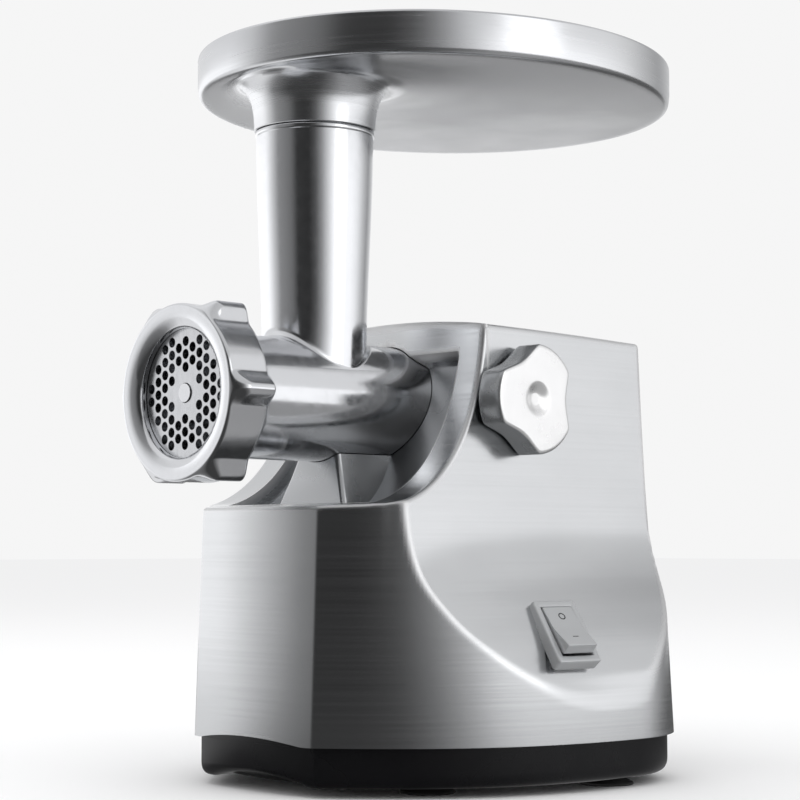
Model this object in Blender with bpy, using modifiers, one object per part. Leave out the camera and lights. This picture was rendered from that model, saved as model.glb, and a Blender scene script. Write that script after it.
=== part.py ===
"""Electric meat grinder: grinding head, hopper tray and motor housing, with the drive inside.

Lengths are millimetres, measured from the point where the feed tube's axis meets the barrel's.
+X is the side with the switch and the lock knob, -Y is the front and +Z is up.
"""
import math

import bmesh
import bpy
from mathutils import Matrix, Vector
from mathutils.geometry import interpolate_bezier

MM = 0.001
MERGE = 0.00001            # merge distance for modifiers, in metres
GAP = 0.3                  # clearance between touching pieces
ROUND = 36                 # sides of a large round piece
TRAY_ROUND = 48            # sides of the tray
SMALL_ROUND = 14           # sides of a small round piece

# The place of the barrel axis: its height above the table, and how far the tube is ahead of centre
AXIS_HEIGHT = 170.0
TUBE_Y = -58.35

# Grinding head
BARREL_R = 27.0
BORE_R = 23.6
BARREL_FRONT = 66.4        # barrel's front face, ahead of the tube axis
BARREL_BACK = 52.0         # barrel's rear shoulder, behind the tube axis
SPIGOT_R = 22.0
SPIGOT_LENGTH = 22.0
TUBE_TOP_R = 26.4
TUBE_FOOT_R = 23.5
TUBE_TOP = 121.0
TUBE_WALL = 2.6
PLATE_R = 31.0
PLATE_THICK = 5.0
RING_FACE = 77.5           # ring nut's front edge, ahead of the tube axis
RING_DISH = 2.5            # how far its face is dished towards the opening
RING_LENGTH = 20.5
RING_R = 37.8
RING_OPENING_R = 27.5
PLATE_FACE = RING_FACE - RING_DISH - 3.1

# Hopper tray
TRAY_HALF_X = 106.0
TRAY_HALF_Y = 117.7
TRAY_CENTRE_Y = 76.5
TRAY_BOTTOM = 144.0
TRAY_TOP = 162.8
TRAY_WALL = 2.0

# Housing
HOUSING_BOTTOM = -148.5
HOUSING_TOP = 38.0
CROWN_DROP = 4.4           # how far the top falls towards the sides
REAR_DROP = 3.0            # how far the top falls towards the rear
# The housing's plan at its foot and at PLAN_TOP, as it leans inwards all round
PLAN_TOP = 48.0
NOSE_HALF = (39.6, 38.6)
NOSE_Y = (-35.2, -28.6)
FLANK_PULL = ((79, -3), (78, 0))
FLANK_SWELL = ((105.5, 30), (94, 32))
FLANK_HALF = (106.4, 95.0)
FLANK_Y = (100.0, 99.0)
CORNER_R = (56.0, 55.0)
NOSE_BOW = 4.4             # how far the middle of the nose stands ahead of its corners
REAR_BOW = 1.5
PANEL_TOP_HALF = 63.0
SHELL = 2.4
# Side scoop: height, half width at the front profile and half width at the rear profile
SCOOP = ((-10, 64, 64.5), (-45, 65.8, 67), (-63, 67.2, 71), (-77, 68.4, 81), (-91.5, 71, 97),
         (-106.5, 74.5, 112), (-118, 79, 117.5), (-126, 83.5, 118), (-134, 89, 118),
         (-142, 98, 121), (-152, 112, 128))
SCOOP_SPREAD = 0.66        # how much of the rear profile is reached, along a sine
SCOOP_FRONT_Y = -40.0
SCOOP_REAR_Y = 165.0

# Base and feet
BASE_BOTTOM = -166.0
BASE_INSET = 3.0
FOOT_R = 12.0
FOOT_PLACES = ((52, 20), (-52, 20), (84, 100), (-84, 100))

# Controls
KNOB_Y = 62.0
KNOB_R = 24.5
KNOB_FACE = 79.0
KNOB_BACK = 65.6
KNOB_HOLLOW = 5.6          # depth of the three hollows between its grips
KNOB_HOLLOW_HALF = 32.0    # half the width of a hollow, in degrees
SWITCH_CENTRE = (92.4, 61.9, -103.4)
SWITCH_LEAN = 37.0         # degrees between the switch's face and the vertical
SWITCH_SWING = 9.0         # degrees its face is swung towards the front
SWITCH_SIZE = (23.0, 32.0)
ROCKER_TILT = 12.0
ROCKER_PIVOT = 4.0         # rocker axis in front of the switch centre

# Drive
MODULE = 1.5
PINION_TEETH = 9
FIRST_TEETH = 36
FIRST_SMALL_TEETH = 10
SECOND_TEETH = 32
SECOND_SMALL_TEETH = 10
OUTPUT_TEETH = 34
GEAR_WIDTH = 8.0
GEARBOX_FRONT = 78.0
GEARBOX_BACK = 110.0

SECOND_Z = -MODULE * (OUTPUT_TEETH + SECOND_SMALL_TEETH) / 2
FIRST_Z = SECOND_Z - MODULE * (SECOND_TEETH + FIRST_SMALL_TEETH) / 2
MOTOR_Z = FIRST_Z - MODULE * (FIRST_TEETH + PINION_TEETH) / 2

TO_FRONT = (math.pi / 2, 0, 0)
TO_REAR = (-math.pi / 2, 0, 0)
TO_RIGHT = (0, math.pi / 2, 0)
UPRIGHT = (0, 0, 0)

for old in list(bpy.data.objects):
    bpy.data.objects.remove(old, do_unlink=True)
PARTS = bpy.data.collections.new("electric_meat_grinder")
CUTTERS = bpy.data.collections.new("cutters")
bpy.context.scene.collection.children.link(PARTS)
bpy.context.scene.collection.children.link(CUTTERS)


def finish(name, colour, roughness, metallic):
    """One plain Principled material."""
    made = bpy.data.materials.new(name)
    made.use_nodes = True
    shader = made.node_tree.nodes["Principled BSDF"]
    shader.inputs["Base Color"].default_value = (*colour, 1)
    shader.inputs["Roughness"].default_value = roughness
    shader.inputs["Metallic"].default_value = metallic
    return made


BRUSHED = finish("brushed_housing", (0.58, 0.59, 0.59), 0.35, 1)
SATIN = finish("satin_liner", (0.38, 0.39, 0.40), 0.30, 1)
CAST = finish("polished_cast", (0.76, 0.77, 0.79), 0.16, 1)
KNOB_WHITE = finish("satin_knob", (0.80, 0.80, 0.80), 0.30, 0.6)
SILVER = finish("silver_plastic", (0.55, 0.56, 0.57), 0.35, 0.4)
BLACK = finish("gloss_black_plastic", (0.012, 0.012, 0.013), 0.2, 0)
DARK = finish("dark_plastic", (0.03, 0.03, 0.032), 0.5, 0)
RUBBER = finish("black_rubber", (0.02, 0.02, 0.02), 0.8, 0)
STEEL = finish("ground_steel", (0.55, 0.56, 0.58), 0.28, 1)
NYLON = finish("white_nylon", (0.82, 0.81, 0.76), 0.45, 0)
LAMINATION = finish("motor_steel", (0.30, 0.30, 0.31), 0.5, 1)
COPPER = finish("copper", (0.72, 0.38, 0.22), 0.35, 1)
BOARD = finish("green_board", (0.03, 0.16, 0.07), 0.5, 0)


def at(x, y, z):
    """A place measured from the tube and barrel axes, as a world location in metres."""
    return Vector((x, y + TUBE_Y, z + AXIS_HEIGHT)) * MM


def add(name, mesh, look=None, place=(0, 0, 0), turn=UPRIGHT):
    """Put a mesh in the scene: a part when it has a look, otherwise a hidden cutter."""
    piece = bpy.data.objects.new(name, mesh)
    piece.location = at(*place)
    piece.rotation_euler = turn
    if look:
        mesh.materials.clear()
        mesh.materials.append(look)
        mesh.shade_smooth()
        mesh.set_sharp_from_angle(angle=math.radians(35))
        PARTS.objects.link(piece)
    else:
        piece.display_type = "WIRE"
        piece.hide_render = True
        CUTTERS.objects.link(piece)
    return piece


def turned(name, profile, look=None, place=(0, 0, 0), turn=UPRIGHT, sides=ROUND, ring=False):
    """Turn a profile of (radius, height) points, listed down its outer side, about local Z."""
    mesh = bpy.data.meshes.new(name)
    last = len(profile) - 1
    edges = [(i, i + 1) for i in range(last)] + ([(last, 0)] if ring else [])
    mesh.from_pydata([(r * MM, 0, h * MM) for r, h in profile], edges, [])
    piece = add(name, mesh, look, place, turn)
    screw = piece.modifiers.new("turn", "SCREW")
    screw.axis = "Z"
    screw.steps = screw.render_steps = sides
    screw.use_merge_vertices = True
    screw.merge_threshold = MERGE
    return piece


def rod(name, radius, low, high, look=None, place=(0, 0, 0), turn=UPRIGHT, sides=SMALL_ROUND):
    """A plain cylinder from height low to height high on local Z."""
    return turned(name, [(0, high), (radius, high), (radius, low), (0, low)], look, place, turn, sides)


def prism(name, outline, low, high, look=None, place=(0, 0, 0), turn=UPRIGHT):
    """A flat outline in local XY, filled and thickened from height low to height high."""
    curve = bpy.data.curves.new(name, "CURVE")
    curve.dimensions = "2D"
    curve.fill_mode = "BOTH"
    curve.extrude = (high - low) / 2 * MM
    line = curve.splines.new("POLY")
    line.points.add(len(outline) - 1)
    for point, (x, y) in zip(line.points, outline):
        point.co = (x * MM, y * MM, 0, 1)
    line.use_cyclic_u = True
    drawn = bpy.data.objects.new(name + "_outline", curve)
    PARTS.objects.link(drawn)
    bpy.context.view_layer.update()
    mesh = bpy.data.meshes.new_from_object(drawn.evaluated_get(bpy.context.evaluated_depsgraph_get()))
    bpy.data.objects.remove(drawn, do_unlink=True)
    shape = bmesh.new()
    shape.from_mesh(mesh)
    bmesh.ops.remove_doubles(shape, verts=shape.verts, dist=MERGE)
    bmesh.ops.translate(shape, verts=shape.verts, vec=(0, 0, (low + high) / 2 * MM))
    bmesh.ops.recalc_face_normals(shape, faces=shape.faces)
    shape.to_mesh(mesh)
    shape.free()
    return add(name, mesh, look, place, turn)


def block(name, low, high, look=None, place=(0, 0, 0), turn=UPRIGHT):
    """A box between two corners."""
    mesh = bpy.data.meshes.new(name)
    shape = bmesh.new()
    bmesh.ops.create_cube(shape, size=1)
    size = Vector(high) - Vector(low)
    bmesh.ops.scale(shape, verts=shape.verts, vec=size * MM)
    bmesh.ops.translate(shape, verts=shape.verts, vec=(Vector(low) + size / 2) * MM)
    shape.to_mesh(mesh)
    shape.free()
    return add(name, mesh, look, place, turn)


def loft(name, sections, look=None, place=(0, 0, 0), turn=UPRIGHT):
    """Skin a row of equal-length closed sections and cap both ends."""
    shape = bmesh.new()
    rings = [[shape.verts.new(Vector(point) * MM) for point in section] for section in sections]
    for near, far in zip(rings, rings[1:]):
        for i in range(len(near)):
            shape.faces.new((near[i - 1], near[i], far[i], far[i - 1]))
    shape.faces.new(rings[0])
    shape.faces.new(rings[-1])
    bmesh.ops.recalc_face_normals(shape, faces=shape.faces)
    mesh = bpy.data.meshes.new(name)
    shape.to_mesh(mesh)
    shape.free()
    return add(name, mesh, look, place, turn)


def combine(piece, other, operation="DIFFERENCE"):
    """Cut, keep or join with another object, which becomes a hidden cutter."""
    change = piece.modifiers.new(other.name, "BOOLEAN")
    change.operation = operation
    change.object = other
    if PARTS in other.users_collection:
        PARTS.objects.unlink(other)
        CUTTERS.objects.link(other)
        other.display_type = "WIRE"
        other.hide_render = True
    return piece


def soften(piece, width, segments=2, angle=40):
    """Round the sharp edges of a piece."""
    bevel = piece.modifiers.new("rounded_edges", "BEVEL")
    bevel.width = width * MM
    bevel.segments = segments
    bevel.limit_method = "ANGLE"
    bevel.angle_limit = math.radians(angle)
    return piece


def arc(radius, start, end, count, centre=(0, 0)):
    """Points on an arc, angles in degrees."""
    angles = [math.radians(start + (end - start) * i / (count - 1)) for i in range(count)]
    return [(centre[0] + radius * math.cos(a), centre[1] + radius * math.sin(a)) for a in angles]


def bezier(start, pull_start, pull_end, end, count):
    """Points on one cubic curve, both ends included."""
    return [tuple(p) for p in interpolate_bezier(start, pull_start, pull_end, end, count)]


def inward(outline, distance):
    """Move every side of a closed, counter-clockwise outline inwards."""
    moved = []
    for i, point in enumerate(outline):
        before = (Vector(point) - Vector(outline[i - 1])).normalized()
        after = (Vector(outline[(i + 1) % len(outline)]) - Vector(point)).normalized()
        normal = Vector((-before.y - after.y, before.x + after.x)).normalized()
        square = max(normal.dot(Vector((-before.y, before.x))), 0.5)
        moved.append(tuple(Vector(point) + normal * distance / square))
    return moved


def both_sides(right_half):
    """Close a right half, listed from the centre line outwards and round, with its mirror."""
    left_half = [(-x, y) for x, y in reversed(right_half) if abs(x) > 0.01]
    return right_half + left_half


# ---------------------------------------------------------------- housing

def plan_outline(inset=0.0, level=0):
    """The housing from above, at its foot (level 0) or its top (level 1)."""
    nose_x, nose_y = NOSE_HALF[level], NOSE_Y[level]
    flank_x, flank_y, corner = FLANK_HALF[level], FLANK_Y[level], CORNER_R[level]
    pull = 0.5523 * corner
    rear_y = flank_y + corner
    right = bezier((0, nose_y - NOSE_BOW), (15, nose_y - NOSE_BOW), (29, nose_y - 0.6 * NOSE_BOW),
                   (nose_x, nose_y), 5)
    right += bezier((nose_x, nose_y), FLANK_PULL[level], FLANK_SWELL[level], (flank_x, flank_y), 11)[1:]
    right += bezier((flank_x, flank_y), (flank_x, flank_y + pull), (flank_x - corner + pull, rear_y),
                    (flank_x - corner, rear_y), 8)[1:]
    right.append((0, rear_y + REAR_BOW))
    return inward(both_sides(right), inset)


def smooth(points, spans):
    """A Catmull-Rom line through the points, with a few steps on each span."""
    line = []
    for i in range(len(points) - 1):
        before = Vector(points[max(i - 1, 0)])
        here, there = Vector(points[i]), Vector(points[i + 1])
        after = Vector(points[min(i + 2, len(points) - 1)])
        for step in range(spans):
            t = step / spans
            line.append(0.5 * (2 * here + (there - before) * t
                               + (2 * before - 5 * here + 4 * there - after) * t ** 2
                               + (3 * here - before - 3 * there + after) * t ** 3))
    return [tuple(p) for p in line] + [tuple(points[-1])]


def elevation(share, inset):
    """The housing's cross-section part of the way from front to rear: crown, panel and scoop."""
    y = SCOOP_FRONT_Y + (SCOOP_REAR_Y - SCOOP_FRONT_Y) * share
    top = HOUSING_TOP - REAR_DROP * share ** 3 - inset
    crown = [(PANEL_TOP_HALF * t, top - CROWN_DROP * t * t) for t in (0, 0.25, 0.5, 0.75, 1)]
    spread = SCOOP_SPREAD * math.sin(1.1 * share * math.pi / 2)
    scoop = smooth([(front + (rear - front) * spread, z) for z, front, rear in SCOOP], 2)
    right = [(max(x - inset * 1.25, 0), z) for x, z in crown + scoop]
    return [(x, y, z) for x, z in both_sides(right)]


def saddle_outline(deeper=0.0, top=70.0):
    """Side view of the space the grinding head sits in: a ledge curving up into a wall."""
    curve = bezier((-12, -46.5), (17, -42), (41, -14), (45, 36), 12)
    outline = [(-90, -50.5)] + curve + [(45, top), (-90, top)]
    return inward(outline, -deeper)


SIDEWAYS = (math.pi / 2, 0, math.pi / 2)


def plan_block(name, inset, low, high, look=None):
    """A block with the housing's leaning plan, between two heights."""
    foot, crest = plan_outline(inset, 0), plan_outline(inset, 1)
    sections = []
    for z in (low, high):
        share = (z - HOUSING_BOTTOM) / (PLAN_TOP - HOUSING_BOTTOM)
        sections.append([(a[0] + (b[0] - a[0]) * share, a[1] + (b[1] - a[1]) * share, z)
                         for a, b in zip(foot, crest)])
    return loft(name, sections, look)


def housing_form(name, inset, look=None):
    """The housing's outer solid, or with an inset the hollow inside it."""
    form = plan_block(name, inset, HOUSING_BOTTOM - (5 if inset else 0), PLAN_TOP, look)
    stations = 5
    sections = loft(name + "_sections", [elevation(i / (stations - 1), inset) for i in range(stations)])
    combine(form, sections, "INTERSECT")
    half = 140
    saddle = prism(name + "_saddle", saddle_outline(inset), -half, half, turn=SIDEWAYS)
    return combine(form, saddle)


LINER_HALF = 48.0
LINER_THICK = 2.5
LINER_DEPTH = 8.0          # how far the liner sits behind the saddle's rim
LINER_BACK = LINER_DEPTH + LINER_THICK


def liner_line(depth, top):
    """Side view of the saddle's curve, moved behind its surface by a depth."""
    curve = bezier((-12, -46.5), (17, -42), (41, -14), (45, 36), 16)
    wall = [Vector(p) for p in curve if p[1] < top and p[0] > -8]
    line = []
    for i, p in enumerate(wall):
        along = (wall[min(i + 1, len(wall) - 1)] - wall[max(i - 1, 0)]).normalized()
        line.append(tuple(p + Vector((along.y, -along.x)) * depth))
    return line


def liner_outline(front, back, top):
    """Side view of a layer that follows the saddle, between two depths behind its surface."""
    return liner_line(front, top) + liner_line(back, top)[::-1]


def body_shell():
    shell = housing_form("body_shell", 0, BRUSHED)
    combine(shell, housing_form("shell_hollow", SHELL))
    recess = prism("liner_recess", liner_outline(-6, LINER_BACK + GAP, 20), -LINER_HALF, LINER_HALF,
                   turn=SIDEWAYS)
    backing = prism("liner_backing", liner_outline(1, LINER_BACK + GAP + SHELL, 24),
                    -LINER_HALF - 3, LINER_HALF + 3, turn=SIDEWAYS)
    combine(shell, backing, "UNION")
    combine(shell, recess)
    combine(shell, rod("socket_hole", BARREL_R + GAP, -75, 60, turn=TO_FRONT, sides=ROUND))
    combine(shell, rod("knob_hole", 6.5, 50, 80, place=(0, KNOB_Y, 0), turn=TO_RIGHT))
    combine(shell, block("switch_cutout", (-10.2, -14.2, -20), (10.2, 14.2, 20),
                         place=SWITCH_CENTRE, turn=switch_turn()))
    combine(shell, block("vent_cutout", (-46, 140, -110), (46, 175, -10)))
    arch_sag, arch_half = 2.7, 34.0
    arch_r = (arch_half ** 2 + arch_sag ** 2) / (2 * arch_sag)
    spread = math.degrees(math.asin(arch_half / arch_r))
    crest = arc(arch_r, 90 + spread, 90 - spread, 9, (0, arch_sag - arch_r))
    arch = prism("front_arch", [(-arch_half, -12)] + crest + [(arch_half, -12)], 10, 60,
                 place=(0, 0, HOUSING_BOTTOM), turn=TO_FRONT)
    combine(shell, arch)
    return shell


def saddle_liner():
    liner = prism("saddle_liner", liner_outline(LINER_DEPTH, LINER_BACK, 20), -LINER_HALF + GAP,
                  LINER_HALF - GAP, SATIN, turn=SIDEWAYS)
    foot, crest, floor, seat = 24.0, 12.5, -57, -22
    pedestal = loft("pedestal", [
        [(-foot, -3, floor), (foot, -3, floor), (foot, 30, floor), (-foot, 30, floor)],
        [(-crest, 2, seat), (crest, 2, seat), (crest, 37, seat), (-crest, 37, seat)]])
    combine(pedestal, rod("barrel_seat", BARREL_R + GAP, -60, 60, turn=TO_FRONT, sides=ROUND))
    behind = prism("behind_liner", liner_line(LINER_BACK - 0.2, 30) + [(90, 30), (90, -100), (-30, -100)],
                   -60, 60, turn=SIDEWAYS)
    combine(pedestal, behind)
    combine(liner, pedestal, "UNION")
    return combine(liner, rod("liner_hole", BARREL_R + GAP, -75, 60, turn=TO_FRONT, sides=ROUND))


def rear_vent_panel():
    panel = prism("rear_vent_panel", [(-45.7, -109.7), (45.7, -109.7), (45.7, -10.3), (-45.7, -10.3)],
                  -158, -155.5, DARK, turn=TO_FRONT)
    slots = 8
    for i in range(slots):
        z = -22 - 8.0 * i
        combine(panel, block("vent_slot_%d" % i, (-34, 150, z - 1.8), (34, 165, z + 1.8)))
    gland_hole = rod("gland_hole", 5.3, -170, -150, place=(0, 0, -98), turn=TO_FRONT)
    return combine(panel, gland_hole)


def cord_gland():
    profile = [(8, -153.2), (8, -155.2), (5, -155.2), (5, -158.3), (8, -158.3), (8, -161), (6.5, -163),
               (3.6, -163), (3.6, -153.2)]
    return turned("cord_gland", profile, RUBBER, place=(0, 0, -98), turn=TO_FRONT,
                  sides=SMALL_ROUND, ring=True)


# ---------------------------------------------------------------- base and feet

def base_tub():
    tub = prism("base_tub", plan_outline(BASE_INSET), BASE_BOTTOM, HOUSING_BOTTOM - GAP, BLACK)
    soften(tub, 5.0, 2, 60)
    hollow = prism("base_hollow", plan_outline(BASE_INSET + 3.4), BASE_BOTTOM + 3,
                   HOUSING_BOTTOM + 20)
    lip = prism("base_lip", plan_outline(SHELL + 0.6), HOUSING_BOTTOM - 2, HOUSING_BOTTOM + 5)
    combine(tub, lip, "UNION")
    combine(tub, hollow)
    for i, (x, y) in enumerate(FOOT_PLACES):
        combine(tub, rod("foot_hole_%d" % i, 4.3, -3, 8, place=(x, y, BASE_BOTTOM)))
        combine(tub, rod("screw_hole_%d" % i, 2.3, -3, 8, place=screw_place(i)))
    return tub


def screw_place(i):
    x, y = FOOT_PLACES[i]
    return (x * 0.72, y + 26, BASE_BOTTOM)


def feet():
    names = ("front_right", "front_left", "rear_right", "rear_left")
    low = -(AXIS_HEIGHT + BASE_BOTTOM)
    profile = [(0, 7), (3, 7), (5.6, 4.6), (5.6, 3.3), (4, 3.3), (4, -GAP), (8, -GAP), (9, -1.4),
               (FOOT_R, low + 0.8), (FOOT_R, low), (FOOT_R - 3, low), (FOOT_R - 4.5, low + 1), (0, low + 1.3)]
    for name, (x, y) in zip(names, FOOT_PLACES):
        turned("foot_" + name, profile, RUBBER, place=(x, y, BASE_BOTTOM), sides=SMALL_ROUND)


def base_screws():
    for i in range(len(FOOT_PLACES)):
        profile = [(0, 14), (2, 13), (2, -GAP), (4, -GAP), (3.4, -1.8), (0, -2.2)]
        turned("base_screw_%d" % (i + 1), profile, STEEL, place=screw_place(i), sides=12)


# ---------------------------------------------------------------- controls

def switch_turn():
    """The switch's local X runs to the rear, local Y up the panel and local Z out of it."""
    lean, swing = math.radians(SWITCH_LEAN), math.radians(SWITCH_SWING)
    out = Vector((math.cos(lean) * math.cos(swing), -math.cos(lean) * math.sin(swing), math.sin(lean)))
    along = Vector((math.sin(swing), math.cos(swing), 0))
    up = out.cross(along)
    return Matrix((along, up, out)).transposed().to_euler()


def switch_housing():
    wide, tall = SWITCH_SIZE[0] / 2, SWITCH_SIZE[1] / 2
    bezel = block("switch_housing", (-wide, -tall, 1.6), (wide, tall, 4.2), SILVER,
                  place=SWITCH_CENTRE, turn=switch_turn())
    soften(bezel, 0.8, 2)
    combine(bezel, block("switch_body", (-9.8, -13.8, -18), (9.8, 13.8, 2),
                         place=SWITCH_CENTRE, turn=switch_turn()), "UNION")
    well = block("switch_well", (-8.3, -12.6, -8), (8.3, 12.6, 12), place=SWITCH_CENTRE,
                 turn=switch_turn())
    return combine(bezel, well)


def switch_rocker():
    reach, depth = 12.0, 7.0
    outline = [(-reach, -2), (-4, -depth), (4, -depth), (reach, -2), (reach, 3.2), (0, 1.6), (-reach, 3.2)]
    tilt = math.radians(-ROCKER_TILT)
    turned_outline = [(x * math.cos(tilt) - z * math.sin(tilt), x * math.sin(tilt) + z * math.cos(tilt))
                      for x, z in outline]
    pivot = Vector(SWITCH_CENTRE) + switch_turn().to_matrix() @ Vector((0, 0, ROCKER_PIVOT))
    rocker = loft("switch_rocker", [[(x, u, w) for u, w in turned_outline] for x in (-7.9, 7.9)],
                  SILVER, place=pivot, turn=switch_turn())
    return soften(rocker, 0.5, 2)


def knob_outline(count):
    """Three round grips with a hollow between each pair; one hollow faces the rear."""
    points = []
    for i in range(count):
        a = 360 * i / count
        away = abs((a - 30) % 120 - 60) / KNOB_HOLLOW_HALF
        reach = min(KNOB_R, KNOB_R - KNOB_HOLLOW * (1 - away ** 2))
        points.append((reach * math.cos(math.radians(a)), reach * math.sin(math.radians(a))))
    return points


def lock_knob():
    knob = prism("lock_knob", knob_outline(60), KNOB_BACK, KNOB_FACE, KNOB_WHITE,
                 place=(0, KNOB_Y, 0), turn=TO_RIGHT)
    soften(knob, 1.0, 1, 50)
    dimple = turned("knob_dimple", [(0, 100), (20, 100), (9, KNOB_FACE + 0.1), (6, KNOB_FACE - 0.9),
                                    (0, KNOB_FACE - 1.3)], place=(0, KNOB_Y, 0), turn=TO_RIGHT)
    shaft = rod("knob_shaft", 6.2, 46, KNOB_BACK + 1, place=(0, KNOB_Y, 0), turn=TO_RIGHT)
    thread = rod("knob_thread", 3.3, 40, KNOB_BACK - 3, place=(0, KNOB_Y, 0), turn=TO_RIGHT, sides=16)
    combine(knob, dimple)
    combine(knob, shaft, "UNION")
    return combine(knob, thread)


def lock_pin():
    tip = 20.3
    profile = [(0, 55), (3, 55), (3, 40), (4.5, 40), (4.5, tip + 1), (3.5, tip), (0, tip)]
    return turned("lock_pin", profile, STEEL, place=(0, KNOB_Y, 0), turn=TO_RIGHT, sides=16)


# ---------------------------------------------------------------- grinding head

def grinder_head():
    front, shoulder, end = BARREL_FRONT, -BARREL_BACK, -BARREL_BACK - SPIGOT_LENGTH
    outer = [(0, front), (PLATE_R - 0.4, front), (PLATE_R - 0.4, 53), (BARREL_R, 49),
             (BARREL_R, shoulder), (SPIGOT_R, shoulder), (SPIGOT_R, end), (0, end)]
    head = turned("grinder_head", outer, CAST, turn=TO_FRONT)
    tube = turned("feed_tube", [(0, TUBE_TOP), (TUBE_TOP_R, TUBE_TOP), (TUBE_FOOT_R, 22), (TUBE_FOOT_R, 3),
                                (0, 3)], sides=ROUND + 4)
    combine(head, tube, "UNION")
    inner_r = TUBE_TOP_R - TUBE_WALL
    tube_bore = turned("tube_bore", [(0, TUBE_TOP + 5), (inner_r, TUBE_TOP + 5), (20, 20), (20, 5), (0, 5)],
                       sides=ROUND + 2)
    barrel_bore = turned("barrel_bore", [(0, front + 5), (BORE_R, front + 5), (BORE_R, -36), (18.5, -36),
                                         (18.5, end - 5), (0, end - 5)], turn=TO_FRONT)
    combine(head, tube_bore)
    combine(head, barrel_bore)
    groove = block("pin_groove", (20, KNOB_Y - 5, -5), (26, 90, 5))
    return combine(head, groove)


def lobed_outline(body, tip, half_angle, count):
    """A round outline with a narrow raised rib at each lobe."""
    points = []
    for i in range(count):
        a = 360.0 * i / count
        away = abs((a + 30) % 60 - 30)
        rise = max(0.0, 1 - away / half_angle)
        radius = body + (tip - body) * (3 * rise ** 2 - 2 * rise ** 3)
        points.append((radius * math.cos(math.radians(a)), radius * math.sin(math.radians(a))))
    return points


def ring_nut():
    back, face = RING_FACE - RING_LENGTH, RING_FACE
    nut = prism("ring_nut", lobed_outline(RING_R, 43.0, 11, 72), back, face, CAST, turn=TO_FRONT)
    cone = turned("ring_cone", [(0, face), (36.6, face), (41.5, face - 1.5), (47, face - 5), (47, back + 3),
                                (44, back), (0, back)], turn=TO_FRONT, sides=ROUND + 4)
    combine(nut, cone, "INTERSECT")
    lip = face - RING_DISH
    inside = turned("ring_inside", [(0, face + 3), (36.4, face + 3), (36.4, face + 0.1), (RING_OPENING_R, lip),
                                    (RING_OPENING_R, lip - 2.8), (PLATE_R + GAP, lip - 2.8),
                                    (PLATE_R + GAP, back - 3), (0, back - 3)], turn=TO_FRONT)
    return combine(nut, inside)


def grinding_plate():
    face = PLATE_FACE
    plate = rod("grinding_plate", PLATE_R, face - PLATE_THICK, face, STEEL, turn=TO_FRONT)
    pitch, hole_r = 5.5, 2.2
    across = pitch * math.cos(math.radians(30))
    holes = []
    for column in range(-6, 7):
        for row in range(-6, 7):
            x = column * across
            z = (row + 0.5 * (column % 2)) * pitch
            if 10.5 < math.hypot(x, z) < 24.5:
                holes.append((x, z))
    shape = bmesh.new()
    for x, z in holes:
        made = bmesh.ops.create_cone(shape, cap_ends=True, segments=6, radius1=hole_r * MM,
                                     radius2=hole_r * MM, depth=20 * MM)
        bmesh.ops.translate(shape, verts=made["verts"], vec=Vector((x, z, face)) * MM)
    made = bmesh.ops.create_cone(shape, cap_ends=True, segments=16, radius1=4.3 * MM,
                                 radius2=4.3 * MM, depth=20 * MM)
    bmesh.ops.translate(shape, verts=made["verts"], vec=Vector((0, 0, face)) * MM)
    drill = bpy.data.meshes.new("plate_holes")
    shape.to_mesh(drill)
    shape.free()
    return combine(plate, add("plate_holes", drill, turn=TO_FRONT))


def cross_knife():
    back, front = 59.0, PLATE_FACE - PLATE_THICK - GAP
    outline = []
    for blade in range(4):
        a = 90 * blade
        for radius, turn in ((7.5, 0), (22.5, 28), (22.5, 45), (8.5, 50)):
            angle = math.radians(a + turn)
            outline.append((radius * math.cos(angle), radius * math.sin(angle)))
    knife = prism("cross_knife", outline, back, front, STEEL, turn=TO_FRONT)
    square = 4.7
    return combine(knife, block("knife_square", (-square, -square, back - 3), (square, square, front + 3),
                                turn=TO_FRONT))


def auger():
    turns, flight_r, core_r, count = 3.0, 22.6, 9.0, 20
    front, back = 58.7, -34.0
    sections = []
    steps = 30
    for step in range(steps + 1):
        share = step / steps
        height = back + (front - back) * share
        taper = core_r + 3.5 * share
        section = []
        for i in range(count):
            a = 360.0 * i / count
            away = min(a, 360 - a)
            rise = max(0.0, 1 - away / 48) ** 0.7
            radius = taper + (flight_r - taper) * rise
            angle = math.radians(a + 360 * turns * share)
            section.append((radius * math.cos(angle), radius * math.sin(angle), height))
        sections.append(section)
    screw = loft("auger", sections, CAST, turn=TO_FRONT)
    square = 4.5
    neck = block("auger_square", (-square, -square, front - 4), (square, square, 66.2), turn=TO_FRONT)
    pin = rod("auger_pin", 4.0, 60, 72.5, turn=TO_FRONT, sides=16)
    stem = rod("auger_stem", 8.0, -47, back + 4, turn=TO_FRONT, sides=16)
    hexagon = rod("auger_hexagon", 4.6, -66, back + 4, turn=TO_FRONT, sides=6)
    for extra in (neck, pin, stem, hexagon):
        combine(screw, extra, "UNION")
    return screw


def auger_bush():
    profile = [(18.1, -37), (18.1, -46), (8.3, -46), (8.3, -37)]
    return turned("auger_bush", profile, NYLON, turn=TO_FRONT, sides=SMALL_ROUND, ring=True)


def tray_form(name, profile, look=None):
    """An oval body through (inset from the rim, height) pairs, listed from the bottom up."""
    sections = []
    for inset, z in profile:
        across, along = TRAY_HALF_X - inset, TRAY_HALF_Y - inset
        angles = [2 * math.pi * i / TRAY_ROUND for i in range(TRAY_ROUND)]
        sections.append([(across * math.cos(a), along * math.sin(a), z) for a in angles])
    return loft(name, sections, look, place=(0, TRAY_CENTRE_Y, 0))


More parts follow.
